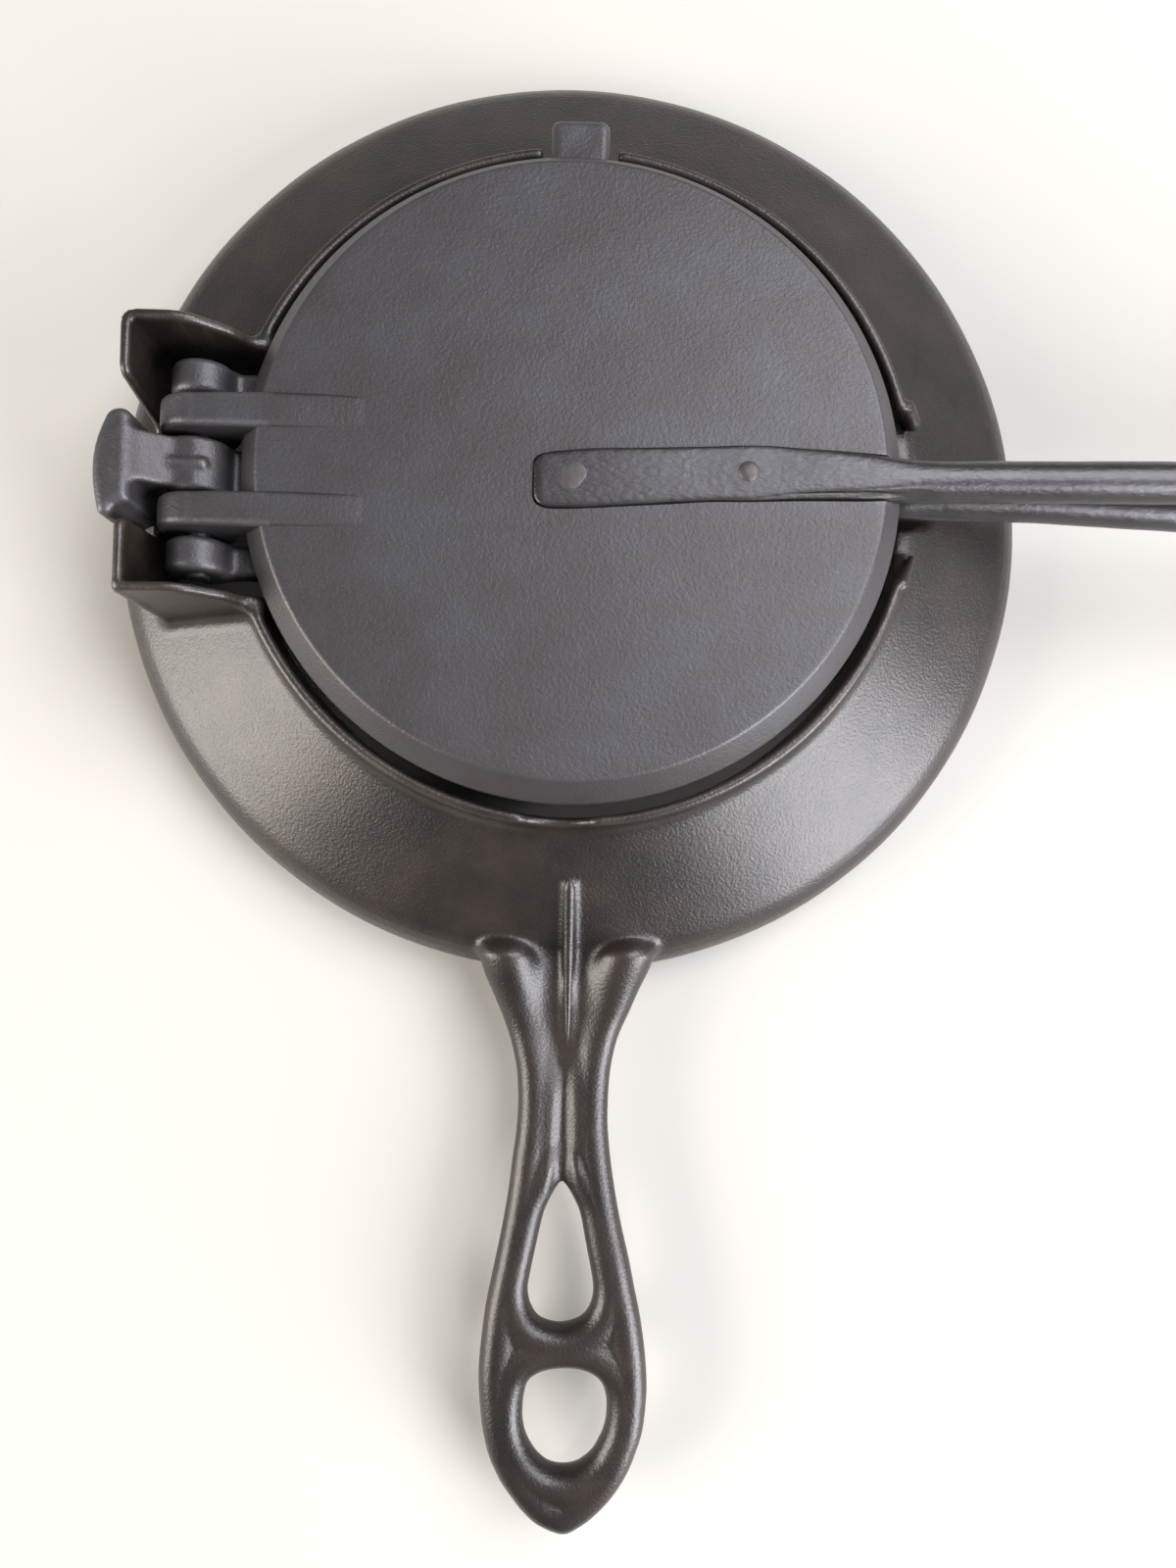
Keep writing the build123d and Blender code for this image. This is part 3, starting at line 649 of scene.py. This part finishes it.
def with_notches(body, p):
    """Cuts the collar's notches and dip, and adds the lips beside the rods' notch."""
    x, y, z = p[..., 0], p[..., 1], p[..., 2]
    low_side = (-16.5 - 1.2 * (z - 38) - y) / 1.56
    rods_notch = np.maximum.reduce([36.9 - z, y - 19.6, low_side, 76 - x])
    body = cut(body, rods_notch, 1.6)
    body = joined(body, rod(p, (86.3, 21.6, 43), (88.6, 19.2, 39.4), 2.1, 2.4), 2.0)
    body = joined(body, rod(p, (84.2, -25.0, 43.6), (88.4, -16.9, 38.8), 1.8, 1.2), 1.5)
    lug_notch = block(p, (-8.6, 74, 37.8), (10.9, 97.5, 90), 1)
    body = cut(body, lug_notch, 1.2)
    dip = (np.hypot((x + 3.3) / 8.5, (z - 47) / 5.2) - 1) * 4.4
    return cut(body, np.maximum(dip, y + 70), 1.4)


def grip_maker():
    """Gives the shape of the grip: rolled edges round a thinner web, wider and higher at the dome."""
    outline = smooth_loop(GRIP_RIGHT + GRIP_LEFT, 4)
    teardrop = smooth_loop(TEARDROP, 4)
    plan = outline_table([outline, teardrop, smooth_loop(OVAL, 4)])
    # The teardrop, with its tip drawn out into a fine line up the neck
    line = [(-1.2, -181.9), (-0.5, -136), (-0.3, -136), (-0.7, -181.9)]
    spear = outline_table([np.concatenate([line, teardrop[1:]])])

    def grip_shape(p):
        x, y, z = p[..., 0], p[..., 1], p[..., 2]
        edge = plan(x, y)
        root = smooth_step(y, -143, -117)
        belly = smooth_step(-y, 186, 206)
        roll_radius = ROLL_RADIUS + 3.1 * root
        roll_height = ROLL_HEIGHT + 3.9 * root - 16 * smooth_step(y, -122, -108)
        roll = np.hypot(edge + roll_radius, z - roll_height) - roll_radius
        web_top = WEB_TOP + 3.6 * smooth_step(y, -160, -124) - 5 * smooth_step(y, -124, -113)
        web = slab(edge + 3.5, z - web_top + WEB_HALF, WEB_HALF + 1.8 * belly, 0.9)
        grip = joined(roll, web, 4.2)
        # Two ridges along the line, which sink into the neck and into the teardrop's edge
        ridge_height = 16.5 - 2.6 * smooth_step(y, -160, -140)
        sunk = 1.8 * smooth_step(-y, 181, 193)
        ridges = np.hypot(spear(x, y) - RIDGE_RADIUS, z - ridge_height) - RIDGE_RADIUS + sunk
        grip = joined(grip, ridges, 2.0)
        grip = joined(grip, rod(p, (-0.4, -150, 15.9), (-0.9, -179, 15.9), 2.2), 1.5)
        valley = rod(p, (-0.4, -152, 22.2), (-1.0, -183.5, 20.8), 2.0, 2.5)
        return cut(grip, valley, 2.0)

    return grip_shape


def base_shape():
    """The base casting as one solid."""
    ring = outline_table([ring_outline()])
    hollow = outline_table([hollow_outline()])
    with_pocket, grip_shape = pocket_maker(), grip_maker()

    def shape(p):
        x, y, z = p[..., 0], p[..., 1], p[..., 2]
        radius = np.hypot(x, y)
        under = hollow(radius, z)
        body = with_saddle(ring(radius, z), p)
        body = with_notches(with_pocket(body, p, under), p)
        body = joined(body, np.maximum(grip_shape(p), -under), 2.5)
        # Foot of the rib
        foot = slab(np.maximum(z - rib_top(y) + 1.0, 102.4 + y), x - RIB_X, 1.1, 0.5)
        foot = np.maximum.reduce([foot, 12 - z, -under, -150 - y])
        body = joined(body, foot, 3.0)
        # Slow waviness of the sand mould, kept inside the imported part's box
        wave = np.sin(x / 9.1 + 1.3) * np.sin(y / 7.7 + 0.4) + 0.6 * np.sin(x / 23 + y / 17)
        return body + 0.12 + WAVINESS * wave

    return shape


# Plates

def rib_height(radius, angle):
    """Height of the baking face's ribs: rings, spokes and a rosette."""
    ring = np.min([np.abs(radius - r) for r in RIB_RINGS], axis=0)
    turn = (angle + math.pi / SPOKES) % (2 * math.pi / SPOKES) - math.pi / SPOKES
    spoke = np.abs(radius * np.sin(turn))
    spoke = np.where((radius > RIB_RINGS[0]) & (radius < RIB_RINGS[-1]), spoke, 9)
    turn = (angle + math.pi / PETALS) % (2 * math.pi / PETALS) - math.pi / PETALS
    petal = (np.hypot((radius * np.cos(turn) - 14) / 6, radius * np.sin(turn) / 2.3) - 1) * 2.3 + 0.8
    return RIB_RISE * (1 - smooth_step(np.minimum(np.minimum(ring, spoke), petal), 0.5, 1.1))


def plate_blank(side):
    """Round plate with a bevelled edge outside and ribs on its sunk baking face."""
    inner = PLATE_RADIUS - LAND
    # Two rings on the flat face keep the rounding's shading off it
    flat = [(FACE_RADIUS - back, THICKNESS) for back in (3.2, 2.2)]
    edge = corner_arcs([
        (0, THICKNESS, 0), (FACE_RADIUS, THICKNESS, 1.5), (PLATE_RADIUS, EDGE_HEIGHT, 1.8),
        (PLATE_RADIUS, 0, 0.8), (inner + 1.2, 0, 0.6), (inner, SUNK, 0.5), (0, SUNK, 0)], 6)[1:-1]
    # The baking face has rings of points close together on the ribs, and a few between
    flanks = [1.15, 0.9, 0.65, 0.4, -0.4, -0.65, -0.9, -1.15]
    on_ribs = [r + flank for r in RIB_RINGS for flank in flanks]
    between = [70.4, 68.6, 62.5, 59, 55.5, 48.5, 45, 41.5, 34.5, 31, 27.5]
    rosette = list(np.arange(21.6, 4, -0.8)) + [2.5]
    baking = [(r, SUNK) for r in sorted(on_ribs + between + rosette, reverse=True)]
    profile = np.concatenate([flat, edge, baking])
    columns = 432
    angle = np.linspace(0, 2 * math.pi, columns, endpoint=False)[None, :]
    r = profile[:, :1] + 0 * angle
    height = profile[:, 1:] + 0 * angle
    ribbed = (np.arange(len(profile)) >= len(flat) + len(edge))[:, None] & (r < 70)
    height = np.where(ribbed, height - rib_height(r, angle + 0 * r), height)
    rings = np.stack([r * np.cos(angle), r * np.sin(angle), PARTING + side * height], -1)
    points, faces = turned(rings, columns)
    if side > 0:
        faces = [face[::-1] for face in faces]
    return points, faces


def plank(outline, low, high):
    """Upright prism on an outline in plan."""
    count = len(outline)
    points = np.concatenate([np.c_[outline, np.full(count, level)] for level in (low, high)])
    return turned(points.reshape(2, count, 3), count)


def arm_side():
    """Side outline of a hinge arm: flush on the plate, then a rounded eye about the pin."""
    fade = [(-44, -4), (-44, -0.8), (-47, -0.4), (-50, -0.06), (-53, 0.16), (-57, 0.34), (-61, 0.5),
            (-66, 0.68), (-72, 0.85), (-80, 0.98), (-86, 1.0)]
    eye_radius = 9.3
    over = [(PIN_X + eye_radius * math.cos(a), PARTING + 1.6 + eye_radius * math.sin(a))
            for a in np.radians(np.arange(80, 181, 10))]
    under = [(PIN_X + eye_radius * math.cos(a), PARTING + eye_radius * math.sin(a))
             for a in np.radians(np.arange(185, 361, 12.5))]
    root = [(-80, PARTING + 0.2), (-74, PARTING + 2)]
    return np.array([(x, PLATE_TOP + rise) for x, rise in fade] + over + under + root)


def arms_shape():
    """The upper plate's two hinge arms, bored for the pin."""
    side = outline_table([arm_side()])

    def shape(p):
        x, y, z = p[..., 0], p[..., 1], p[..., 2]
        narrowing = 0.25 * smooth_step(-x, 70, 95)
        arms = slab(side(x, z), np.abs(y) - ARM_Y, 4.35 - narrowing, 1.3)
        bore = np.hypot(x - PIN_X, z - PARTING) - 3.06
        uneven = 0.05 * smooth_step(-x, 58, 72)
        return np.maximum(arms, -bore) + uneven * np.sin(x / 2.9) * np.sin(y / 3.1 + 1)

    return shape


def knuckles_shape():
    """The lower plate's knuckles, tongue and turning head."""
    head_plan = outline_table([corner_arcs([
        (-105.4, 10.8, 2.6), (-110.7, 10.8, 3.4), (-115.4, -1.4, 28), (-112.6, -15.2, 1.6),
        (-109.9, -15.2, 1.2), (-108.6, -13.0, 2), (-105.4, -11.6, 1.2)])])
    neck_side = outline_table([corner_arcs([
        (-108, 38.6, 0), (-93, 38.6, 0), (-91, 53.2, 2), (-98, 54.4, 8), (-104.6, 59.0, 6),
        (-108, 59.6, 0)])])

    def shape(p):
        x, y, z = p[..., 0], p[..., 1], p[..., 2]
        about_pin = np.hypot(x - PIN_X, z - PARTING)
        knuckles = slab(about_pin - 7.5, np.abs(y) - KNUCKLE_Y, 4.3, 1.9)
        webs = block(np.stack([x, np.abs(y), z], -1), (-93, 18.2, 38.4), (-76.5, 26, 45.6), 1.6)
        knuckles = joined(knuckles, webs, 3)
        tongue = slab(about_pin - 7.4, y, 6.5, 1.0)
        tongue = joined(tongue, block(p, (-93, -6.4, 38.4), (-76.5, 6.4, 45.4), 1.5), 2)
        casting_ridge = rod(p, (-102, -0.5, 54.1), (-90.6, -0.3, 53.0), 0.9, 1.5)
        tongue = joined(tongue, casting_ridge, 0.9)
        tongue = joined(tongue, slab(neck_side(x, z), y, 6.3, 1.2), 1.6)
        head = slab(head_plan(x, y), z - 49.5, 10.9, 2.1)
        body = np.minimum(knuckles, joined(tongue, head, 2.2))
        arms_room = slab(about_pin - 11.6, np.abs(y) - ARM_Y, 5.0, 0.3)
        body = np.maximum(body, -arms_room)
        return body + 0.07 * np.sin(x / 2.7 + 0.5) * np.sin(y / 2.9) * np.sin(z / 3.3)

    return shape


def lug_shape(p):
    """Lifting lug on the lower plate's edge, clear of the upper plate."""
    x, y, z = p[..., 0], p[..., 1], p[..., 2]
    body = block(p, (-6.6, 78, 38.3), (8.8, 94.3, 47.6), 2.4)
    upper_plate = np.maximum(np.hypot(x, y) - PLATE_RADIUS - 0.2, PARTING - 0.1 - z)
    body = np.maximum(body, -upper_plate)
    return body + 0.1 + 0.08 * np.sin(x / 1.9) * np.sin(y / 2.3)


# Handles

# Stations along the upper handle: X, middle in Y, half width, lowest and highest above
# the parting plane, squareness of the section, and how far its corner is hammered in
BAR = np.array([
    (-9.7, -4.0, 3.6, 8.3, 10.5, 4, 0),
    (-9.4, -4.0, 4.8, 8.0, 10.8, 5, 0),
    (-8.7, -4.0, 5.7, 7.9, 10.95, 7, 0),
    (-7.4, -4.0, 6.4, 7.8, 11.0, 9, 0),
    (-5.5, -3.95, 6.75, 7.8, 11.0, 9, 0),
    (-3, -3.8, 6.9, 7.8, 11.0, 9, 0),
    (4, -3.3, 7.1, 7.8, 11.0, 9, 0),
    (14, -2.8, 6.9, 7.8, 11.0, 9, 0),
    (24, -2.3, 6.75, 7.8, 10.95, 9, 0),
    (33, -1.8, 6.6, 7.8, 10.9, 9, 0),
    (42, -1.5, 6.75, 7.8, 11.0, 9, 0),
    (49, -1.4, 6.6, 7.8, 11.1, 8, 0.08),
    (55, -1.5, 6.3, 7.8, 11.3, 6, 0.24),
    (62, -1.6, 6.1, 7.6, 11.6, 5, 0.34),
    (70, -1.8, 5.8, 6.6, 11.8, 4, 0.32),
    (78, -1.9, 5.4, 4.2, 12.0, 3, 0.22),
    (84, -1.8, 5.1, 2.4, 12.1, 2.4, 0.1),
    (92, -1.6, 5.0, 1.9, 12.05, 2.1, 0),
    (110, -1.3, 5.05, 1.75, 12.05, 2, 0),
    (150, -0.8, 5.2, 1.7, 12.2, 2, 0),
    (240, -0.7, 5.2, 1.7, 12.2, 2, 0),
    (322, -0.7, 5.15, 1.75, 12.1, 2, 0),
    (326, -0.7, 4.8, 2.1, 11.8, 2, 0),
    (328.6, -0.7, 3.9, 3.0, 10.9, 2, 0),
    (329.6, -0.7, 2.7, 4.2, 9.7, 2, 0),
    (330, -0.7, 1.2, 5.7, 8.2, 2, 0),
])


def hermite(x, y, at):
    """Smooth values through stations, without overshoot."""
    slope = np.diff(y) / np.diff(x)
    lean = np.concatenate([[slope[0]], (slope[1:] + slope[:-1]) / 2, [slope[-1]]])
    flat = np.concatenate([[False], slope[1:] * slope[:-1] <= 0, [False]])
    lean[flat] = 0
    index = np.clip(np.searchsorted(x, at, side="right") - 1, 0, len(x) - 2)
    span = x[index + 1] - x[index]
    t = (at - x[index]) / span
    return ((2 * t**3 - 3 * t**2 + 1) * y[index] + (t**3 - 2 * t**2 + t) * span * lean[index]
            + (3 * t**2 - 2 * t**3) * y[index + 1] + (t**3 - t**2) * span * lean[index + 1])


def forged_bar(side):
    """Strap that is drawn out into a round rod. The lower one bends a little away from the upper one."""
    stations = np.unique(np.concatenate([BAR[:, 0], np.arange(-7, 96, 1.5), np.arange(100, 324, 5)]))
    values = [hermite(BAR[:, 0], column, stations) for column in BAR.T[1:]]
    around = 64
    angle = np.linspace(0, 2 * math.pi, around, endpoint=False)
    c, s = np.cos(angle), np.sin(angle)
    from_corner = (angle - math.radians(150) + math.pi) % (2 * math.pi) - math.pi
    corner = np.exp(-(from_corner / 0.42) ** 2)
    sections = []
    for x, middle, half, low, high, square, hammered in zip(stations, *values):
        sag = 0.0
        if side < 0:
            middle += np.interp(x, [90, 120, 160, 330], [0, -0.6, -2.4, -2.8])
            sag = float(np.interp(x, [118, 160, 330], [0, 0.9, 5.8]))
        power = 2 / max(square, 2)
        y = half * np.sign(c) * np.abs(c) ** power * (1 - hammered * corner)
        z = (high - low) / 2 * np.sign(s) * np.abs(s) ** power * (1 - 1.3 * hammered * corner)
        wobble = 1 + 0.006 * math.sin(x / 5.3) + 0.005 * math.sin(x / 2.3 + 1)
        height = (low + high) / 2 + z + sag
        sections.append(np.stack([np.full(around, x), middle + y * wobble, PARTING + side * height], -1))
    points, faces = turned(sections, around)
    if side < 0:
        faces = [face[::-1] for face in faces]
    return points, faces


def strap_plan(gap):
    """Outline of the strap in plan, grown by a gap, out past the plate's edge."""
    rows = BAR[BAR[:, 0] < 92]
    stations = np.unique(np.concatenate([rows[:, 0], np.arange(-7, 90, 3.0)]))
    stations = stations[stations <= rows[-1, 0]]
    middle = hermite(rows[:, 0], rows[:, 1], stations)
    half = hermite(rows[:, 0], rows[:, 2], stations) + gap
    stations = np.where(stations < -8, stations - gap, stations)
    return np.concatenate([np.c_[stations, middle - half], np.c_[stations, middle + half][::-1]])


def rivet_head(place, radius, rise, side, shank, uneven):
    """Rivet: a low domed head, a little out of round, on its shank."""
    x, y = place
    profile = [(shank, SUNK + 0.5), (shank, STRAP_TOP - 1.4), (radius * 0.98, STRAP_TOP - 0.5),
               (radius, STRAP_TOP + 0.1 * rise)]
    profile += [(radius * math.cos(a), STRAP_TOP + rise * math.sin(a))
                for a in np.radians((15, 30, 45, 60, 75, 86))]
    around = 48
    angle = np.linspace(0, 2 * math.pi, around, endpoint=False)
    waves = 0.5 * np.sin(2 * angle + 0.6) + 0.3 * np.sin(3 * angle) + 0.2 * np.sin(5 * angle + 1)
    out = 1 + uneven * waves
    sections = [np.stack([x + r * out * np.cos(angle), y + r * out * np.sin(angle),
                          np.full(around, PARTING + side * height)], -1) for r, height in profile]
    points, faces = turned(sections, around)
    if side < 0:
        faces = [face[::-1] for face in faces]
    return points, faces


# Settings that a user would change

class PIZZELLE_PG_finish(bpy.types.PropertyGroup):
    """Colours of the iron."""

    ring_dark: bpy.props.FloatVectorProperty(
        name="Ring Dark", description="Seasoned ring, darker patches",
        subtype="COLOR", size=3, min=0, max=1, default=linear("#1d1713"))
    ring_light: bpy.props.FloatVectorProperty(
        name="Ring Light", description="Seasoned ring, lighter patches",
        subtype="COLOR", size=3, min=0, max=1, default=linear("#2f2620"))
    plate_dark: bpy.props.FloatVectorProperty(
        name="Plate Dark", description="Plates, darker patches",
        subtype="COLOR", size=3, min=0, max=1, default=linear("#342e2d"))
    plate_light: bpy.props.FloatVectorProperty(
        name="Plate Light", description="Plates, lighter patches",
        subtype="COLOR", size=3, min=0, max=1, default=linear("#3a383b"))
    bar_dark: bpy.props.FloatVectorProperty(
        name="Bar Dark", description="Handles, darker patches",
        subtype="COLOR", size=3, min=0, max=1, default=linear("#2c2829"))
    bar_light: bpy.props.FloatVectorProperty(
        name="Bar Light", description="Handles, lighter patches",
        subtype="COLOR", size=3, min=0, max=1, default=linear("#383536"))
    rivet_dark: bpy.props.FloatVectorProperty(
        name="Rivet Dark", description="Rivets, darker patches",
        subtype="COLOR", size=3, min=0, max=1, default=linear("#3a3534"))
    rivet_light: bpy.props.FloatVectorProperty(
        name="Rivet Light", description="Rivets, lighter patches",
        subtype="COLOR", size=3, min=0, max=1, default=linear("#4a4341"))


class PIZZELLE_PG_sizes(bpy.types.PropertyGroup):
    """Sizes of the meshes and of the groove round a strap."""

    casting_cell: bpy.props.FloatProperty(
        name="Casting Mesh", description="Mesh size of the base casting",
        default=0.9 * MM, subtype="DISTANCE", unit="LENGTH")
    hinge_cell: bpy.props.FloatProperty(
        name="Hinge Mesh", description="Mesh size of the hinge's pieces",
        default=0.6 * MM, subtype="DISTANCE", unit="LENGTH")
    strap_gap: bpy.props.FloatProperty(
        name="Strap Gap", description="Gap between a strap and its groove",
        default=0.3 * MM, subtype="DISTANCE", unit="LENGTH")


# Operators, one for each piece or group of like pieces

SIDES = (("upper", 1), ("lower", -1))
MOST_TRIANGLES = 196000


class PIZZELLE_OT_base(bpy.types.Operator):
    """Make the base casting: ring, collar, hinge pocket and grip"""

    bl_idname = "pizzelle.base"
    bl_label = "Base Casting"

    def execute(self, context):
        cell = context.scene.pizzelle_sizes.casting_cell / MM
        surface = skin(base_shape(), (-130, -277, -3), (130, 130, 65), cell)
        piece("base_casting_iron", [thinned(surface, MOST_TRIANGLES), rib_bar()], seasoned_cast_iron(),
              "base", ["base_casting"], 60)
        return {"FINISHED"}


class PIZZELLE_OT_plates(bpy.types.Operator):
    """Make the two plates with their hinge arms, knuckles, turning head and lug"""

    bl_idname = "pizzelle.plates"
    bl_label = "Plates"

    def execute(self, context):
        sizes = context.scene.pizzelle_sizes
        cell = sizes.hinge_cell / MM
        outline = strap_plan(sizes.strap_gap / MM)
        groove = plank(outline, PLATE_TOP - GROOVE_DEPTH, PLATE_TOP + 5)
        arms = skin(arms_shape(), (-104, -19, 35.5), (-41, 19, 59.5), cell)
        piece("upper_plate_iron", [carved([plate_blank(1)], groove), arms], dry_cast_iron(),
              "upper_iron", ["upper_plate"])
        bottom = PARTING - THICKNESS
        groove = plank(outline, bottom - 5, bottom + GROOVE_DEPTH)
        hinge = skin(knuckles_shape(), (-116, -29, 36), (-75, 29, 62.5), cell)
        lug = skin(lug_shape, (-9, 77, 36), (11, 97, 50), cell)
        piece("lower_plate_iron", [carved([plate_blank(-1)], groove), hinge, lug], dry_cast_iron(),
              "lower_iron", ["lower_plate"])
        return {"FINISHED"}


class PIZZELLE_OT_handles(bpy.types.Operator):
    """Make the two forged handles"""

    bl_idname = "pizzelle.handles"
    bl_label = "Handles"

    def execute(self, context):
        for label, side in SIDES:
            piece(f"{label}_handle_iron", [forged_bar(side)], forged_iron(), f"{label}_iron",
                  [f"{label}_handle"], 50)
        return {"FINISHED"}


class PIZZELLE_OT_rivets(bpy.types.Operator):
    """Make the rivets and finish the hinge pin"""

    bl_idname = "pizzelle.rivets"
    bl_label = "Rivets and Pin"

    def execute(self, context):
        for label, side in SIDES:
            flush = rivet_head(FLUSH_RIVET, 3.4, 0.22, side, 2.4, 0.12)
            piece(f"{label}_flush_rivet_iron", [flush], hammered_rivet_iron(), f"{label}_iron",
                  [f"{label}_flush_rivet"])
            domed = rivet_head(DOMED_RIVET, 2.5, 0.75, side, 1.8, 0.03)
            piece(f"{label}_domed_rivet_iron", [domed], hammered_rivet_iron(), f"{label}_iron",
                  [f"{label}_domed_rivet"])
        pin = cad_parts["hinge_pin"]
        pin.data.materials.clear()
        pin.data.materials.append(forged_iron())
        return {"FINISHED"}


class PIZZELLE_OT_stage(bpy.types.Operator):
    """Set up the floor, the light and the camera"""

    bl_idname = "pizzelle.stage"
    bl_label = "Stage"

    def execute(self, context):
        scene = context.scene
        # Matt pale paper: an even floor that keeps the object's soft shadow
        paper = bpy.data.materials.new("pale_paper")
        paper.use_nodes = True
        shader = paper.node_tree.nodes["Principled BSDF"]
        shader.inputs["Base Color"].default_value = (*linear(PAPER_COLOUR), 1)
        shader.inputs["Roughness"].default_value = 0.9
        half = FLOOR_HALF
        sheet = bpy.data.meshes.new("floor")
        sheet.from_pydata([(-half, -half, 0), (half, -half, 0), (half, half, 0), (-half, half, 0)],
                          [], [(0, 1, 2, 3)])
        sheet.materials.append(paper)
        floor = bpy.data.objects.new("floor", sheet)
        scene.collection.objects.link(floor)
        for name, place, size, power, colour in LAMPS:
            light = bpy.data.lights.new(name, "AREA")
            light.size, light.energy, light.color = size, power, linear(colour)
            lamp = bpy.data.objects.new(name, light)
            lamp.location = place
            lamp.rotation_mode = "QUATERNION"
            lamp.rotation_quaternion = Vector([-at for at in place]).to_track_quat("-Z", "Y")
            scene.collection.objects.link(lamp)
        # The room lights the iron softly and shows white to the camera alone
        world = bpy.data.worlds.new("room")
        world.use_nodes = True
        room = world.node_tree.nodes["Background"]
        room.inputs["Color"].default_value = (*linear(ROOM_COLOUR), 1)
        rays = node(world.node_tree, "ShaderNodeLightPath")
        level = node(world.node_tree, "ShaderNodeMapRange", {
            "Value": (rays, "Is Camera Ray"), "To Min": ROOM_STRENGTH, "To Max": 1.0})
        world.node_tree.links.new(level.outputs["Result"], room.inputs["Strength"])
        scene.world = world
        scene.view_settings.view_transform = "Standard"
        eye = bpy.data.cameras.new("camera")
        eye.sensor_width, eye.lens, eye.clip_start = 36, CAMERA_LENS, 0.01
        camera = bpy.data.objects.new("camera", eye)
        camera.location = [at * MM for at in CAMERA_PLACE]
        camera.rotation_euler = [math.radians(turn) for turn in CAMERA_TURN]
        scene.collection.objects.link(camera)
        scene.camera = camera
        return {"FINISHED"}


class PIZZELLE_PT_panel(bpy.types.Panel):
    """Settings, and a button for each group of pieces."""

    bl_idname = "PIZZELLE_PT_panel"
    bl_label = "Pizzelle Iron"
    bl_space_type = "VIEW_3D"
    bl_region_type = "UI"
    bl_category = "Pizzelle Iron"

    def draw(self, context):
        for group in (context.scene.pizzelle_sizes, context.scene.pizzelle_finish):
            for name in group.bl_rna.properties.keys():
                if name not in ("rna_type", "name"):
                    self.layout.prop(group, name)
        for operator in OPERATORS:
            self.layout.operator(operator.bl_idname)


OPERATORS = (PIZZELLE_OT_stage, PIZZELLE_OT_base, PIZZELLE_OT_plates, PIZZELLE_OT_handles,
             PIZZELLE_OT_rivets)
CLASSES = (PIZZELLE_PG_finish, PIZZELLE_PG_sizes) + OPERATORS + (PIZZELLE_PT_panel,)


def register():
    """Register the classes and their settings."""
    for item in CLASSES:
        bpy.utils.register_class(item)
    bpy.types.Scene.pizzelle_finish = bpy.props.PointerProperty(type=PIZZELLE_PG_finish)
    bpy.types.Scene.pizzelle_sizes = bpy.props.PointerProperty(type=PIZZELLE_PG_sizes)


def unregister():
    """Remove the settings and the classes."""
    del bpy.types.Scene.pizzelle_sizes
    del bpy.types.Scene.pizzelle_finish
    for item in reversed(CLASSES):
        bpy.utils.unregister_class(item)


def main():
    """Build every piece."""
    register()
    bpy.ops.pizzelle.stage()
    bpy.ops.pizzelle.base()
    bpy.ops.pizzelle.plates()
    bpy.ops.pizzelle.handles()
    bpy.ops.pizzelle.rivets()


if __name__ == "__main__":
    main()
